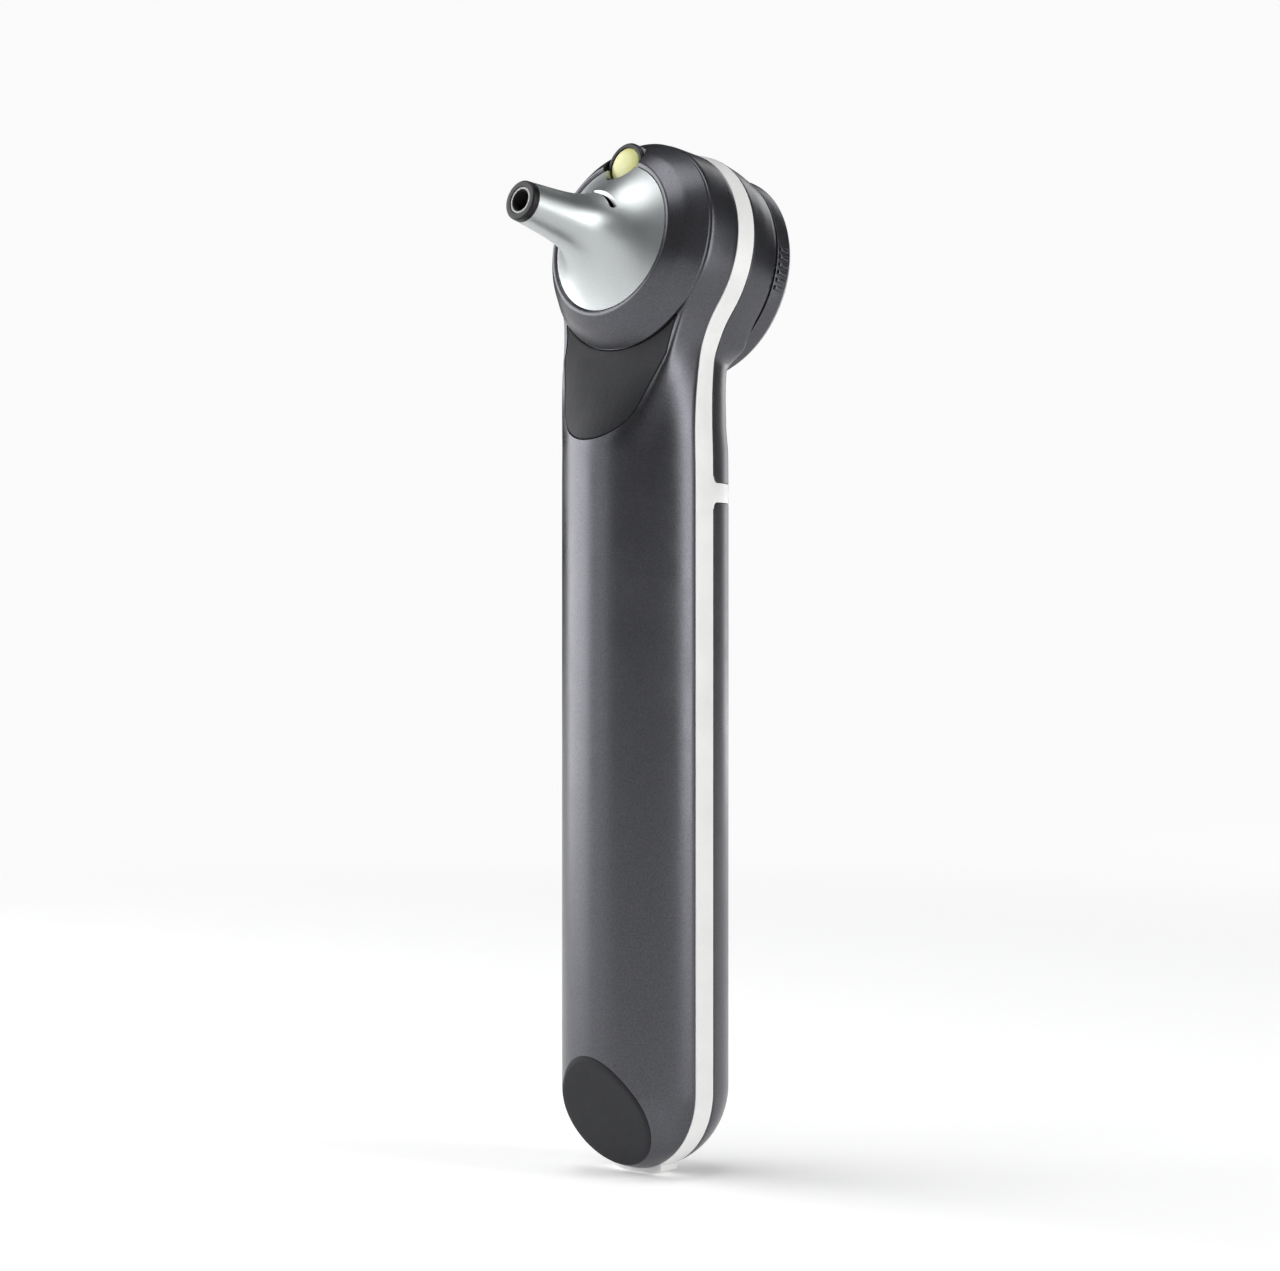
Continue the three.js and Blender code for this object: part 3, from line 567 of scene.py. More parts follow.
def pad_section(inner, outer, skin):
    """The pad's own section: a flat top that follows the skin, with rounded edges."""
    inner, outer = inner + SEAM, outer - SEAM / 2
    width = outer - inner
    edge = min(PAD_EDGE_R, width * 0.4)
    drops = [(edge * (1 - math.cos(a)), edge * (1 - math.sin(a))) for a in quarter(6)]
    top = [(inner + reach, drop) for reach, drop in drops]
    top += [(inner + edge + (width - 2 * edge) * f, 0.0) for f in np.linspace(0, 1, 16)[1:-1]]
    top += [(outer - reach, drop) for reach, drop in reversed(drops)]
    loop = [(r, skin(r) + drop) for r, drop in top]
    bottom = [(outer, skin(outer) + PAD_T), (inner, skin(inner) + PAD_T)]
    return loop + bottom


def pocket_section(inner, outer, skin):
    """The cutter of the pad's pocket. It opens a little at the skin, where the casing's edge is soft."""
    outer = outer + SEAM / 2
    lip, depth, flare = skin(outer), PAD_T + PAD_POCKET_PLAY, 0.6
    return [(inner, PAD_POCKET_FRONT_T), (outer + flare, PAD_POCKET_FRONT_T), (outer + flare, lip - 0.5),
            (outer, lip + 0.1), (outer, lip + depth), (inner, skin(inner) + depth)]


BOX_FACES = [(0, 1, 3, 2), (4, 6, 7, 5), (0, 4, 5, 1), (2, 3, 7, 6), (0, 2, 6, 4), (1, 5, 7, 3)]


def box_corners(low, high):
    """The corners of a block, in the order that BOX_FACES expects."""
    return [(x, y, z) for x in (low[0], high[0]) for y in (low[1], high[1]) for z in (low[2], high[2])]


def half_space(name, distance):
    """A block beyond a plane parallel to the base flat, at a distance from the round end's centre."""
    tilt = Matrix.Rotation(BASE_CUT_TILT, 3, "X")
    corners = [tilt @ Vector(c) for c in box_corners((-30, -distance - 40, -30), (30, -distance, 30))]
    obj = new_object(name, [(c.x, c.y, c.z + BALL_Z) for c in corners], BOX_FACES)
    outward(obj)
    return obj


front = shell_skin("front_shell_skin", STATIONS, 1, lambda h: band_half(h) + SEAM / 2)
thicken(front, (0, 0, 90))
cut(front, pad_sweep("pocket", pocket_section, pad_half_angle(0.25)),
    half_space("base_flat", BASE_CUT_DISTANCE - BASE_RIM - 0.08),
    lathe("optic_hole", [(0, -12), (11.2, -12), (11.2, 4), (0, 4)], 96, closed=False))

pad = pad_sweep("button_pad", pad_section, pad_half_angle(0.45))
shade(pad)


# ---- the base pad: an oval plate that completes the round end
def base_rim(theta, distance, inset=0.0):
    """The rim of the flat at an angle: a point of the plane on the round end or the handle."""
    n = np.array([0, -math.cos(BASE_CUT_TILT), -math.sin(BASE_CUT_TILT)])
    v = np.array([0, -math.sin(BASE_CUT_TILT), math.cos(BASE_CUT_TILT)])
    middle = np.array([0, 0, BALL_Z]) + n * distance
    ray = math.cos(theta) * ACROSS + math.sin(theta) * v
    low, high = 0.0, 25.0
    for _ in range(40):
        mid = (low + high) / 2
        p = middle + ray * mid
        rise = min(p[2] - BALL_Z, 0)
        low, high = (mid, high) if math.hypot(p[0], p[1], rise) < HANDLE_R else (low, mid)
    return middle + ray * (low - inset), middle


def base_plate():
    """The plate as rings from its flat face over its rounded edge to its back. Each ring is a
    distance of its plane, an inset of its rim and a share of the way from the middle to the rim."""
    layers = [(BASE_CUT_DISTANCE, BASE_EDGE_R, f) for f in (0.35, 0.7, 0.9)]
    for a in quarter(5):
        back, inset = BASE_EDGE_R * (1 - math.cos(a)), BASE_EDGE_R * (1 - math.sin(a))
        layers.append((BASE_CUT_DISTANCE - back, inset, 1.0))
    layers.append((BASE_CUT_DISTANCE - BASE_RIM, 0.0, 1.0))
    layers.append((BASE_CUT_DISTANCE - BASE_RIM, 0.3, 0.6))
    rows = []
    angles = np.linspace(0, 2 * math.pi, 180, endpoint=False)
    for distance, inset, f in layers:
        ring = []
        for theta in angles:
            rim, middle = base_rim(theta, distance, inset + 0.02)
            ring.append(middle + (rim - middle) * f)
        rows.append(ring)
    obj = capped("base_plate", np.array(rows))
    shade(obj)
    return obj


base_pad = base_plate()


# ---- rear covers and the white band with its branch
def corner_round(low=None, high=None):
    """How far the edge moves in near a cover's low or high end, for its rounded corners."""
    def inset(h):
        out = 0 * h
        for end, sign in ((low, 1), (high, -1)):
            if end is not None:
                gap = np.clip(CORNER_R - sign * (h - end), 0, CORNER_R)
                out = out + CORNER_R - np.sqrt(CORNER_R ** 2 - gap ** 2)
        return out
    return inset


BRANCH_LOW = BRANCH_Z - BRANCH_H / 2
BRANCH_HIGH = BRANCH_Z + BRANCH_H / 2
CORNER_STEPS = CORNER_R * (1 - np.cos(quarter(8)))

upper_end = BRANCH_HIGH + SEAM / 2
upper_rows = with_heights(STATIONS, upper_end + CORNER_R, 400, upper_end + CORNER_STEPS)
rear_upper = shell_skin("rear_upper_skin", upper_rows, -1, lambda h: band_half(h) + SEAM / 2,
                        corner_round(low=upper_end))
thicken(rear_upper, (0, 0, 150))
cut(rear_upper, lathe("eyepiece_hole", [(0, 8), (13.4, 8), (13.4, 30), (0, 30)], 128, closed=False))

cover_end = BRANCH_LOW - SEAM / 2
cover_rows = with_heights(STATIONS, -1, cover_end - CORNER_R, cover_end - CORNER_STEPS)
cover = shell_skin("battery_cover_skin", cover_rows, -1, lambda h: band_half(h) + SEAM / 2,
                   corner_round(high=cover_end))
thicken(cover, (0, 0, 60))
shade(cover)


def band_ring():
    """The closed white band: its face on the skin, with small round edges, and its wall."""
    stations = STATIONS
    half = band_half(stations[:, 1]) - SEAM / 2
    columns = []
    edge = [(EDGE_ROUND * (1 - math.cos(a)), EDGE_ROUND * (1 - math.sin(a))) for a in quarter(4)]
    rear_edge = [(-1, inset, drop) for inset, drop in edge]
    face = [(None, f, 0.0) for f in np.linspace(-0.85, 0.85, 9)]
    front_edge = [(1, inset, drop) for inset, drop in reversed(edge)]
    for side, value, drop in rear_edge + face + front_edge:
        if side is None:
            depth = half * value
        else:
            depth = side * (half - value)
        front = depth > 0
        away = np.abs(depth)
        at = np.where(front, edge_angle(stations, away, 1), edge_angle(stations, away, -1))
        ahead, behind = (skin_point(stations, at, facing, drop) for facing in (1, -1))
        columns.append(np.where(front[:, None], ahead, behind))
    inner = stations.copy()
    for depth in (half, -half):
        x = np.maximum(inner[:, 0] + inner[:, 2] * BAND_WALL, 0)
        h = inner[:, 1] + inner[:, 3] * BAND_WALL
        columns.append(bend(x, h, depth))
    right = np.array(columns).transpose(1, 0, 2)
    left = mirrored(right[1:-1][::-1])
    grid = np.concatenate([right, left])
    grid[[0, len(right) - 1], :, 0] = 0
    faces = grid_faces(*grid.shape[:2], loop_rows=True, loop_cols=True)
    obj = new_object("band_ring", grid, faces)
    outward(obj)
    return obj


BRANCH_PROUD = 0.012                 # keeps the strip's face clear of the band's where they lap


def band_branch():
    """The cross strip at the back, which widens into the band with concave corners."""
    columns = []
    lap, wall = 0.5, 1.2             # how far the strip laps the band, and its thickness
    straight = lap + SEAM / 2
    start = math.degrees(math.asin((BAND_HALF_HANDLE - lap) / HANDLE_R))
    arcs = np.concatenate([np.linspace(0, straight, 3)[:-1],
                           straight + CORNER_R * (1 - np.cos(quarter(9)))])
    angles = list(start + np.degrees(arcs / HANDLE_R))
    angles += list(np.linspace(angles[-1], 90, 24)[1:])
    for angle in angles:
        away = math.radians(angle - start) * HANDLE_R - straight
        gap = min(max(CORNER_R - away, 0), CORNER_R)
        half = BRANCH_H / 2 - SEAM / 2 + CORNER_R - math.sqrt(max(CORNER_R ** 2 - gap ** 2, 0))
        loop = [(-half + EDGE_ROUND * (1 - math.cos(a)), EDGE_ROUND * (1 - math.sin(a))) for a in quarter(4)]
        loop += [(-z, d) for z, d in reversed(loop)]
        loop += [(half, wall), (-half, wall)]
        columns.append([skin_point(station_at(BRANCH_Z + z), angle, -1, drop - BRANCH_PROUD)
                        for z, drop in loop])
    right = np.array(columns)
    return capped("band_branch", np.concatenate([right, mirrored(right[:-1][::-1])]))


band = band_ring()
branch = band_branch()
shade(branch)


def box_mm(name, low, high, bevel=0.0):
    """A block between two corners in millimetres, with rounded edges if bevel is given."""
    obj = new_object(name, box_corners(low, high), BOX_FACES)
    outward(obj)
    if bevel:
        modifier = obj.modifiers.new("edge", "BEVEL")
        modifier.width = bevel * MM
        modifier.segments = 3
        apply_modifiers(obj)
    shade(obj)
    return obj


cut(band, box_mm("foot_slot", (-FOOT_HALF - FOOT_PLAY, -5, -1), (FOOT_HALF + FOOT_PLAY, 5, 8)))


def upright_lathe(name, points, x, segments=48):
    """A turned piece about a vertical axis, from (radius, z[, corner]) points that start on it."""
    profile = rounded_profile(points)
    angles = np.linspace(0, 2 * math.pi, segments, endpoint=False)
    r, z = profile[:, 0][:, None], profile[:, 1][:, None]
    grid = np.stack(np.broadcast_arrays(x + r * np.cos(angles), r * np.sin(angles), z + 0 * angles), -1)
    obj = new_object(name, grid, grid_faces(len(profile), segments, loop_cols=True))
    outward(obj)
    shade(obj)
    return obj


def foot_block():
    """The white foot: it follows the round end down to a small flat, with two pin holes."""
    body = box_mm("foot_block", (-FOOT_HALF, -FOOT_HALF_DEPTH, 0), (FOOT_HALF, FOOT_HALF_DEPTH, 7),
                  bevel=0.18)
    angles = np.linspace(0, 2 * math.pi, 240, endpoint=False)
    half_length, clear_r = 6, 40     # the cutter is a sleeve about y that leaves the round end's inside
    grid = np.array([[(r * math.sin(a), y, BALL_Z - r * math.cos(a)) for a in angles]
                     for r, y in ((FOOT_ROUND_R, -half_length), (FOOT_ROUND_R, half_length),
                                  (clear_r, half_length), (clear_r, -half_length))])
    sleeve = new_object("foot_round", grid, grid_faces(4, len(angles), loop_rows=True, loop_cols=True))
    outward(sleeve)
    cut(body, sleeve)
    for x in PIN_X:
        cut(body, upright_lathe("pin_hole", [(0, -1), (PIN_HOLE_MOUTH_R, -1), (PIN_HOLE_R, 0.25),
                                             (PIN_HOLE_R, 9), (0, 9)], x))
    shade(body, 28)
    return body


foot = foot_block()
pins = [upright_lathe(f"pin_{i}", [(0, 0.1), (PIN_R, 0.1, 0.5), (PIN_R, 7), (0, 7)], x)
        for i, x in enumerate(PIN_X)]


# ---------------------------------------------------------------------------
# Head: collar, cone, lamp, dial and eyepiece
# ---------------------------------------------------------------------------
def disc_cutter(name, radius, t0, t1):
    """A solid cylinder on the lamp's axis."""
    return lathe(name, [(0, t0), (radius, t0), (radius, t1), (0, t1)], 96, LAMP_UP, closed=False)


collar = lathe("collar", [
    (COLLAR_OUTER_R - 0.3, COLLAR_BACK_T), (COLLAR_OUTER_R, COLLAR_BACK_T, 0.05),
    (COLLAR_OUTER_R - 0.04, -3.95, 0.25), (16.6, -7.3, 7), (14.3, COLLAR_INNER_T - 0.3, 1.2),
    (COLLAR_INNER_R, COLLAR_INNER_T - 0.05, 0.25), (COLLAR_INNER_R, COLLAR_BACK_T, 0.1),
    (COLLAR_OUTER_R - 0.3, COLLAR_BACK_T)], 240)
cut(collar, disc_cutter("lamp_hole", LAMP_R + LAMP_PLAY, -20, 0), sharp_degrees=30)


CONE_BASE_R = COLLAR_INNER_R - CONE_FIT
CONE_SPREAD = 2                      # how much the straight part of the cone widens, on the radius
CONE_FLARE_POWER = 5


def cone_radius(f):
    """The cone's radius at a share of the way from its tip to its base: straight, then flared."""
    return TIP_R + CONE_SPREAD * f + (CONE_BASE_R - TIP_R - CONE_SPREAD) * f ** CONE_FLARE_POWER


def cone_wall(inset, low, high, count):
    """The cone's profile between two shares of its length, moved in from its outside."""
    return [(cone_radius(f) - inset, lerp(TIP_T, CONE_BASE_T, f)) for f in np.linspace(low, high, count)]


CAP_F = TIP_CAP_LENGTH / (CONE_BASE_T - TIP_T)
cone_start = (TIP_R - 0.4, lerp(TIP_T, CONE_BASE_T, CAP_F))
cone = lathe("cone", [cone_start, *cone_wall(0, CAP_F, 1, 56), (CONE_BASE_R, CONE_BACK_T),
                      (COLLAR_INNER_R - 1.6, CONE_BACK_T), *reversed(cone_wall(CONE_WALL, CAP_F, 0.97, 40)),
                      cone_start], 240)


def slot_cutter():
    """A stadium in angle and place along the axis, from inside the cone to outside it."""
    low, high = math.radians(SLOT_FROM), math.radians(SLOT_TO)
    radius = cone_radius((SLOT_T - TIP_T) / (CONE_BASE_T - TIP_T))
    half = SLOT_W / 2
    end = half / radius
    loop = []
    for middle, first, back in ((high - end, -math.pi / 2, low + end), (low + end, math.pi / 2, high - end)):
        for a in np.linspace(first, first + math.pi, 12):
            loop.append((middle + end * math.cos(a), SLOT_T + half * math.sin(a)))
        side = SLOT_T + (half if middle > back else -half)
        loop += [(theta, side) for theta in np.linspace(middle, back, 40)[1:-1]]
    n = len(loop)
    faces = grid_faces(2, n, loop_cols=True)
    radii = (radius - 2.5, radius + 3.0)
    edges = [[head_point(r * math.sin(a), t, r * math.cos(a)) for a, t in loop] for r in radii]
    centres = [[head_point(r * math.sin(a), SLOT_T, r * math.cos(a)) for a, _ in loop] for r in radii]
    points = np.array(edges + centres).reshape(-1, 3)
    for base, centre in ((0, 2 * n), (n, 3 * n)):
        for k in range(n):
            k2 = (k + 1) % n
            faces.append((base + k, base + k2, centre + k2, centre + k))
    obj = new_object("slot_cutter", points, faces)
    outward(obj)
    return obj


# The walls that these cuts make, in the slot and the notches, are painted black: painted shade, mainly for
# the slot.
cut(cone, slot_cutter(), disc_cutter("lamp_notch", LAMP_R + LAMP_PLAY, LAMP_FACE_T - 0.15, 0),
    disc_cutter("lens_notch", LENS_NOTCH_R, -16, LAMP_FACE_T + 0.2), sharp_degrees=30, cut_slot=1)

for poly in cone.data.polygons:      # the cone is black inside, and the walls of its cuts are black too: in the slot this black is painted shade
    at = np.array(poly.center) / MM - HEAD_REF
    along = (at @ AXIS - TIP_T) / (CONE_BASE_T - TIP_T)
    if math.hypot(at[0], at @ HEAD_UP) < cone_radius(min(along, 1)) - CONE_WALL / 2:
        poly.material_index = 1

cap_back_t = TIP_T + TIP_CAP_LENGTH - 0.06
tip_cap = lathe("tip_cap_ring", [
    (TIP_CAP_BORE_R, TIP_T + 0.9), (TIP_CAP_BORE_R, TIP_T, 0.1), (TIP_R, TIP_T, 0.32),
    (TIP_R + 0.1, cap_back_t, 0.05), (TIP_CAP_BORE_R, cap_back_t, 0.05), (TIP_CAP_BORE_R, TIP_T + 0.9)], 120)
ring_t = TIP_T + 0.1
light_ring = lathe("light_ring", [
    (2.1, ring_t), (2.38, ring_t, 0.06), (2.3, TIP_TUBE_END_T), (2.06, TIP_TUBE_END_T),
    (2.06, ring_t, 0.06), (2.1, ring_t)], 96)
liner_t = TIP_T + 0.16
bore_liner = lathe("bore_liner", [
    (1.96, liner_t), (2.03, liner_t), (2.03, TIP_TUBE_END_T), (1.9, TIP_TUBE_END_T), (1.9, liner_t, 0.05),
    (1.96, liner_t)], 96)

barrel_t = LAMP_FACE_T + 0.9
lamp_barrel = lathe("lamp_body", [
    (3.6, barrel_t), (LAMP_R, barrel_t, 0.05), (LAMP_R, FRONT_T - 0.2), (2.2, FRONT_T - 0.2),
    (2.2, FRONT_T - 1.0), (3.55, FRONT_T - 1.0), (3.6, barrel_t)], 120, LAMP_UP)
bezel_back_t, bezel_r = LAMP_FACE_T + 0.85, LAMP_R + 0.02
lamp_bezel = lathe("lamp_bezel", [
    (3.45, bezel_back_t), (LAMP_LENS_R, LAMP_FACE_T, 0.12), (4.08, LAMP_FACE_T - 0.02, 0.2),
    (bezel_r, LAMP_FACE_T + 0.3, 0.15), (bezel_r, bezel_back_t), (3.45, bezel_back_t)], 120, LAMP_UP)
dome_height, lens_back_t = 0.75, LAMP_FACE_T + 1.6
dome = [(LAMP_LENS_R * math.sin(a), LAMP_FACE_T + 0.35 - dome_height * math.cos(a)) for a in quarter(16)]
lamp_lens = lathe("lamp_dome", [*dome, (LAMP_LENS_R, lens_back_t), (0, lens_back_t)], 96, LAMP_UP,
                  closed=False)


def rib(angle):
    """One rounded grip rib of the dial, standing a little out of its rim."""
    bar = box_mm("rib", (-RIB_HALF_W, DIAL_T0 + 0.25, -0.4), (RIB_HALF_W, DIAL_T1 - 1.75, RIB_RISE),
                 bevel=0.16)
    frame_of_rib = Matrix((
        (-math.sin(angle), 0, math.cos(angle)), (0, 1, 0), (math.cos(angle), 0, math.sin(angle))))
    head_frame = Matrix((ACROSS, AXIS, HEAD_UP)).transposed()
    out = Vector((math.cos(angle), 0, math.sin(angle))) * DIAL_R
    for v in bar.data.vertices:
        v.co = (Vector(HEAD_REF) + head_frame @ (frame_of_rib @ (v.co / MM) + out)) * MM
    outward(bar)
    return bar


spigot_t, rim_t, seat_t = DIAL_T0 - 1.6, DIAL_T0 - 0.14, DIAL_T1 - 1.6
seat_r = EYEPIECE_R + DIAL_FIT
dial_parts = [lathe("dial", [
    (DIAL_SPIGOT_R, spigot_t), (DIAL_SPIGOT_R, rim_t, 0.1), (DIAL_R - 0.12, rim_t, 0.12),
    (DIAL_R, DIAL_T1 - 1.2, 0.6), (DIAL_R - 0.9, DIAL_T1, 0.5), (seat_r, DIAL_T1, 0.12), (seat_r, seat_t),
    (DIAL_BORE_R, seat_t), (DIAL_BORE_R, spigot_t), (DIAL_SPIGOT_R, spigot_t)], 280)]
for side in (0, math.pi):
    for k in range(RIB_COUNT):
        dial_parts.append(rib(side + (k - (RIB_COUNT - 1) / 2) * RIB_PITCH))
dial = joined("dial_ring", dial_parts)

bezel = lathe("eyepiece_ring", [
    (10.2, DIAL_T1 - 1.3), (EYEPIECE_R, DIAL_T1 - 1.3), (EYEPIECE_R, DIAL_T1 + 0.5, 0.5),
    (11.3, DIAL_T1 + 0.5, 0.4), (10.2, DIAL_T1 - 0.5, 0.3), (10.2, DIAL_T1 - 1.3)], 240)
window = lathe("window", [
    (0, DIAL_T1 - 1.2), (9.9, DIAL_T1 - 1.2, 0.1), (9.9, DIAL_T1 - 0.5, 0.1), (8.0, DIAL_T1 - 0.35, 2),
    (0, DIAL_T1 - 0.15)], 160, closed=False)


# ---------------------------------------------------------------------------
# Materials
# ---------------------------------------------------------------------------
GRAIN_DEPTH = 0.00003                # metres


def material(name, color, roughness, metallic=0.0, grain=0.0, grain_size=0.25, bump=0.0, mottle=0.03,
             rough_vary=0.04, **sockets):
    """A finish with a fine grain, a broad faint mottle and a roughness that wanders a little."""
    mat = bpy.data.materials.new(name)
    mat.use_nodes = True
    tree = mat.node_tree
    shader = tree.nodes["Principled BSDF"]
    shader.inputs["Metallic"].default_value = metallic
    for key, value in sockets.items():
        shader.inputs[key.replace("_", " ")].default_value = value
    place = tree.nodes.new("ShaderNodeTexCoord")
    mottle_size = 9.0

    def noise(size_mm, detail):
        node = tree.nodes.new("ShaderNodeTexNoise")
        node.inputs["Scale"].default_value = 1000.0 / size_mm
        node.inputs["Detail"].default_value = detail
        node.inputs["Roughness"].default_value = 0.6
        tree.links.new(place.outputs["Object"], node.inputs["Vector"])
        return node

    def spread(source, low, high):
        node = tree.nodes.new("ShaderNodeMapRange")
        node.inputs["From Min"].default_value = 0.3
        node.inputs["From Max"].default_value = 0.7
        node.inputs["To Min"].default_value = low
        node.inputs["To Max"].default_value = high
        tree.links.new(source, node.inputs["Value"])
        return node.outputs["Result"]

    fine, broad = noise(grain_size, 2.0), noise(mottle_size, 3.0)
    amount = tree.nodes.new("ShaderNodeMath")
    amount.operation = "MULTIPLY"
    tree.links.new(spread(fine.outputs["Fac"], 1 - grain, 1 + grain), amount.inputs[0])
    tree.links.new(spread(broad.outputs["Fac"], 1 - mottle, 1 + mottle), amount.inputs[1])
    tint = tree.nodes.new("ShaderNodeVectorMath")
    tint.operation = "SCALE"
    tint.inputs[0].default_value = color
    tree.links.new(amount.outputs[0], tint.inputs["Scale"])
    tree.links.new(tint.outputs["Vector"], shader.inputs["Base Color"])
    tree.links.new(spread(broad.outputs["Fac"], roughness - rough_vary, roughness + rough_vary),
                   shader.inputs["Roughness"])
    if bump:
        relief = tree.nodes.new("ShaderNodeBump")
        relief.inputs["Strength"].default_value = bump
        relief.inputs["Distance"].default_value = GRAIN_DEPTH
        tree.links.new(fine.outputs["Fac"], relief.inputs["Height"])
        tree.links.new(relief.outputs["Normal"], shader.inputs["Normal"])
    return mat


FINISHES = {
    "shell_paint": material("shell_paint", (0.098, 0.099, 0.110), 0.31, 0.82, grain=0.16, bump=0.35,
                            grain_size=0.3),
    "pad_plastic": material("pad_plastic", (0.021, 0.0215, 0.025), 0.62, Specular_IOR_Level=0.25, grain=0.14,
                            bump=0.5, grain_size=0.45),
    "white_plastic": material("white_plastic", (0.88, 0.88, 0.865), 0.34, grain=0.01, bump=0.05),
    "cone_metal": material("cone_metal", (0.52, 0.545, 0.548), 0.40, 0.92, grain=0.03, bump=0.08,
                           grain_size=0.35),
    "black_plastic": material("black_plastic", (0.006, 0.006, 0.007), 0.42, Specular_IOR_Level=0.3,
                              grain=0.08, bump=0.12),
    "light_guide": material("light_guide", (0.55, 0.57, 0.58), 0.22, grain=0.05, Transmission_Weight=0.35),
    "lamp_metal": material("lamp_metal", (0.48, 0.48, 0.49), 0.32, 1.0, grain=0.04, bump=0.08),
    "lamp_phosphor": material("lamp_phosphor", (0.82, 0.74, 0.30), 0.30, grain=0.02, Subsurface_Weight=0.2),
    "clear_glass": material("clear_glass", (0.90, 0.94, 0.95), 0.03, rough_vary=0.01, mottle=0.01,
                            Transmission_Weight=1.0, IOR=1.5),
    "inner_plastic": material("inner_plastic", (0.02, 0.02, 0.022), 0.6, grain=0.08, bump=0.3),
    "seal_rubber": material("seal_rubber", (0.012, 0.012, 0.012), 0.7, grain=0.1, bump=0.3),
    "steel": material("steel", (0.50, 0.51, 0.52), 0.28, 1.0, grain=0.05, bump=0.1),
    "board_green": material("board_green", (0.012, 0.11, 0.035), 0.38, grain=0.06, bump=0.1),
    "cell_wrap": material("cell_wrap", (0.03, 0.11, 0.30), 0.3, grain=0.03, bump=0.05),
    "contact_gold": material("contact_gold", (0.75, 0.52, 0.18), 0.25, 1.0, grain=0.04, bump=0.05),
}


def paint(obj, slot, second=None):
    """Gives a mesh its finish, and a second one for its faces at material place 1."""
    obj.data.materials.clear()
    obj.data.materials.append(FINISHES[slot])
    if second:
        obj.data.materials.append(FINISHES[second])


# Every CAD node has its finish, and smooth faces where it is round.
for row in frame["record"]["subparts"]:
    node = frame["nodes"].get(row["node"])
    if node is not None:
        paint(node, row["material_slot"])
        node.data.polygons.foreach_set("use_smooth", [True] * len(node.data.polygons))
        node.data.set_sharp_from_angle(angle=math.radians(32))

# Each piece, its name, the body that it rides on, its slot and the CAD nodes that it stands for.
PIECES = [
    (front, "front_casing", "casing", "shell_paint", ["front_shell"]),
    (band, "white_band", "casing", "white_plastic", ["mid_band"]),
    (branch, "white_band_branch", "casing", "white_plastic", []),
    (rear_upper, "rear_head_cover", "casing", "shell_paint", ["rear_upper_cover"]),
    (cover, "battery_cover_fine", "cover", "shell_paint", ["battery_cover"]),
    (pad, "button_pad", "button", "pad_plastic", ["power_button"]),
    (base_pad, "base_pad_fine", "casing", "pad_plastic", ["base_pad"]),
    (foot, "charging_foot", "casing", "white_plastic", ["charge_contact_block"]),
    (pins[0], "charge_pin_left", "casing", "contact_gold", ["charge_pin_1"]),
    (pins[1], "charge_pin_right", "casing", "contact_gold", ["charge_pin_2"]),
    (collar, "collar_fine", "casing", "shell_paint", ["collar_ring"]),
    (cone, "cone_fine", "casing", "cone_metal", ["speculum_cone"]),
    (tip_cap, "tip_cap_fine", "casing", "black_plastic", ["tip_cap"]),
    (bore_liner, "bore_liner", "casing", "inner_plastic", []),
    (light_ring, "light_ring_fine", "casing", "light_guide", ["tip_light_ring"]),
    (lamp_barrel, "lamp_body", "casing", "lamp_metal", ["lamp_barrel"]),
    (lamp_bezel, "lamp_bezel", "casing", "black_plastic", []),
    (lamp_lens, "lamp_dome", "casing", "lamp_phosphor", ["lamp_lens"]),
    (dial, "dial_ring", "dial", "shell_paint", ["focus_ring"]),
    (bezel, "eyepiece_ring", "dial", "black_plastic", ["eyepiece_bezel"]),
    (window, "eyepiece_glass", "dial", "clear_glass", ["eyepiece_window"]),
]
for obj, name, body, slot, nodes in PIECES:
    obj.name = name
    obj.data.name = name
    # the cone's second finish blacks its inside and its cut walls; in the slot this black is painted shade
    paint(obj, slot, "inner_plastic" if obj is cone else None)
    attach(obj, body)
    if nodes:
        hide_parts(*nodes)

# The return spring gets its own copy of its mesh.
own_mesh(frame["nodes"]["button_spring"])


# ---------------------------------------------------------------------------
# Floor, backdrop, light and camera
# ---------------------------------------------------------------------------
VIEW_YAW = math.radians(45)
STAGE_WHITE = 0.96
TO_CAMERA = Vector((math.sin(VIEW_YAW), -math.cos(VIEW_YAW), 0))
TO_RIGHT = Vector((math.cos(VIEW_YAW), math.sin(VIEW_YAW), 0))
TARGET = Vector((0, 0.0, 0.105))     # the lights face this point


def stage_white(name, near, far):
    """A pale stage surface: a matt floor near the object that turns into an even glow far out."""
    mat = bpy.data.materials.new(name)
    mat.use_nodes = True
    tree = mat.node_tree
    shader = tree.nodes["Principled BSDF"]
    shader.inputs["Roughness"].default_value = 0.9
    shader.inputs["Specular IOR Level"].default_value = 0.1
    shader.inputs["Emission Color"].default_value = (STAGE_WHITE, STAGE_WHITE, STAGE_WHITE, 1)
    place = tree.nodes.new("ShaderNodeTexCoord")
    away = tree.nodes.new("ShaderNodeVectorMath")
    away.operation = "LENGTH"
    tree.links.new(place.outputs["Object"], away.inputs[0])
    for socket, low, high in (("Emission Strength", 0.25, 1.0), ("Base Color", STAGE_WHITE, 0.0)):
        fade = tree.nodes.new("ShaderNodeMapRange")
        fade.interpolation_type = "SMOOTHSTEP"
        for key, value in (("From Min", near), ("From Max", far), ("To Min", low), ("To Max", high)):
            fade.inputs[key].default_value = value
        tree.links.new(away.outputs["Value"], fade.inputs["Value"])
        tree.links.new(fade.outputs["Result"], shader.inputs[socket])
    return mat


bpy.ops.mesh.primitive_circle_add(vertices=128, radius=4.0, fill_type="NGON", location=(0, 0, -0.0002))
floor = bpy.context.object
floor.name = "floor"
floor.data.materials.append(stage_white("floor_matt", 0.1, 0.9))

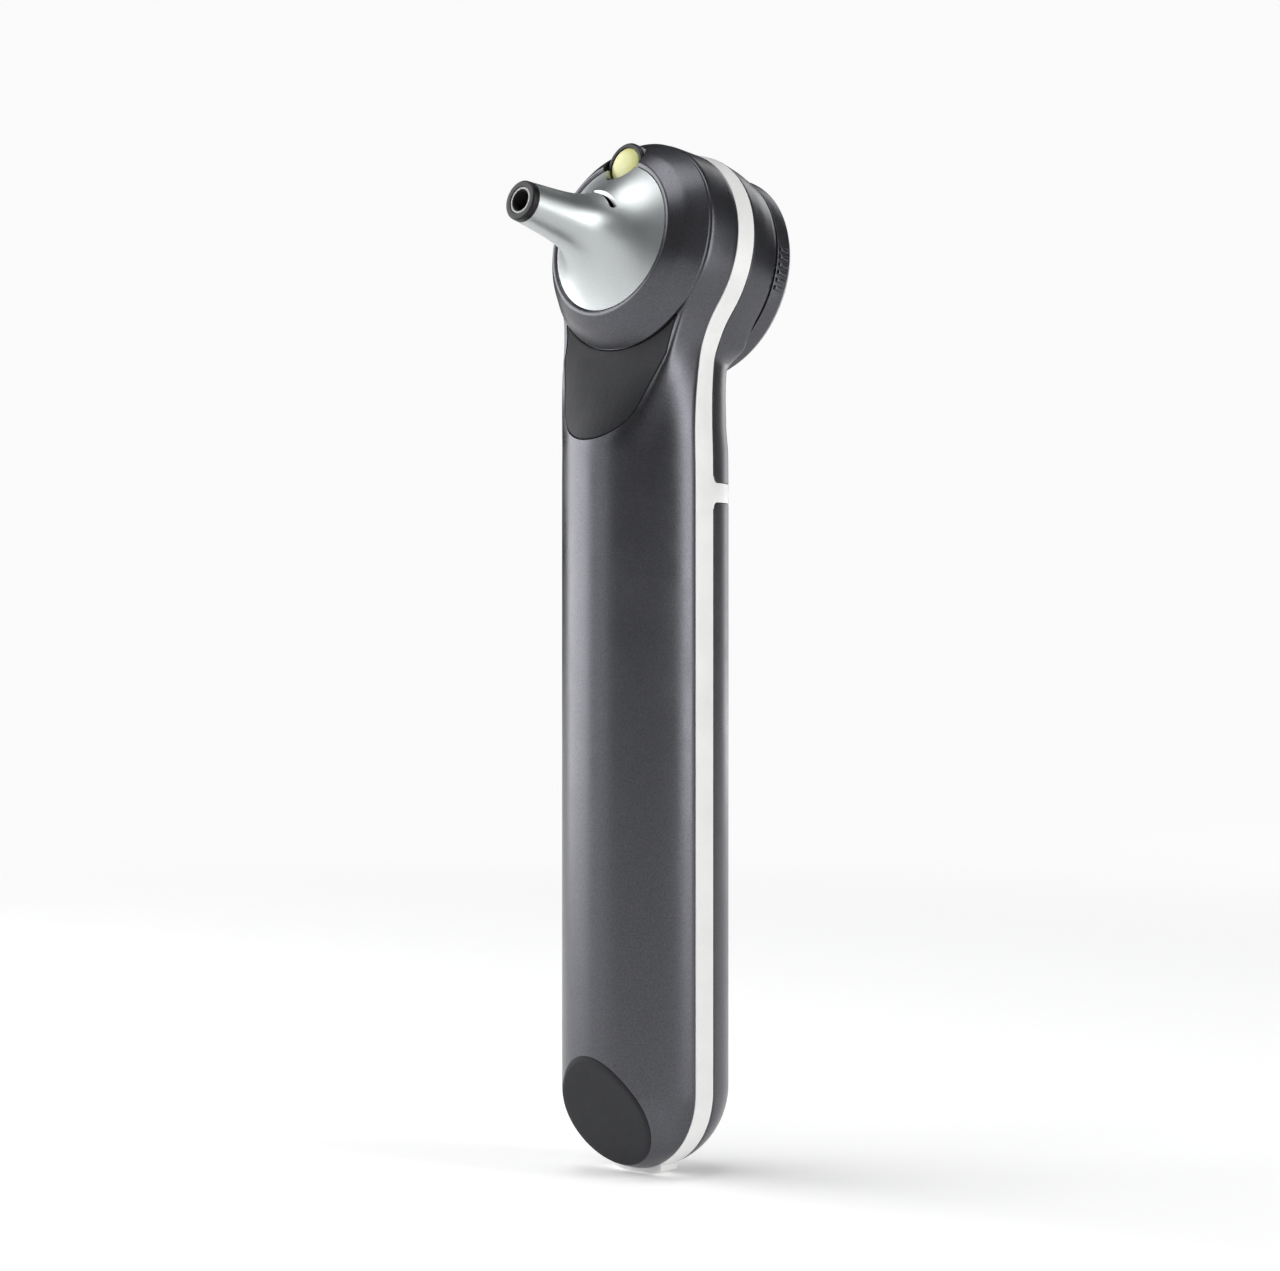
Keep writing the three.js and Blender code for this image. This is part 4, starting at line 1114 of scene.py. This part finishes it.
bpy.ops.mesh.primitive_uv_sphere_add(segments=64, ring_count=32, radius=4.2)
room = bpy.context.object
room.name = "backdrop"
room.data.materials.append(stage_white("backdrop_glow", 0.0, 0.1))
room.visible_glossy = False          # only the camera sees the backdrop
room.visible_diffuse = False
room.visible_shadow = False
room.visible_transmission = False


def softbox(name, direction, distance, size, power):
    """A flat white light that faces the object from a direction. Size and distance are in metres."""
    light = bpy.data.lights.new(name, "AREA")
    light.shape = "RECTANGLE"
    light.size, light.size_y = size
    light.energy = power
    obj = bpy.data.objects.new(name, light)
    obj.location = TARGET + direction.normalized() * distance
    obj.rotation_euler = (TARGET - obj.location).to_track_quat("-Z", "Y").to_euler()
    bpy.context.scene.collection.objects.link(obj)


def around(degrees, rise=0.0):
    """A direction this many degrees to the left of the camera (negative: right), and this high."""
    a = math.radians(degrees)
    flat = TO_CAMERA * math.cos(a) - TO_RIGHT * math.sin(a)
    return flat * math.cos(math.radians(rise)) + Vector((0, 0, math.sin(math.radians(rise))))


softbox("left_key", around(108, 8), 0.95, (0.9, 1.2), 13.5)
softbox("left_fill", around(64, 12), 1.1, (0.45, 1.0), 1.6)
softbox("right_strip", around(-62, 6), 1.0, (0.34, 1.2), 7.2)
softbox("right_back", around(-150, 12), 1.2, (0.5, 1.2), 3.0)
softbox("top", around(40, 78), 1.0, (0.7, 0.7), 5)

world = bpy.data.worlds.new("studio")
world.use_nodes = True
sky = world.node_tree.nodes["Background"]
sky.inputs["Color"].default_value = (0.8, 0.85, 1.0, 1)
sky.inputs["Strength"].default_value = 0.03
bpy.context.scene.world = world

camera_data = bpy.data.cameras.new("camera")
camera_data.sensor_width = 36.0
camera_data.lens = 90.0
camera_data.clip_start, camera_data.clip_end = 0.01, 20.0
camera = bpy.data.objects.new("camera", camera_data)
camera.location = (0.40717, -0.40851, 0.0963)
camera.rotation_euler = (math.radians(90), 0, VIEW_YAW)
bpy.context.scene.collection.objects.link(camera)
bpy.context.scene.camera = camera
bpy.context.scene.view_settings.view_transform = "Standard"
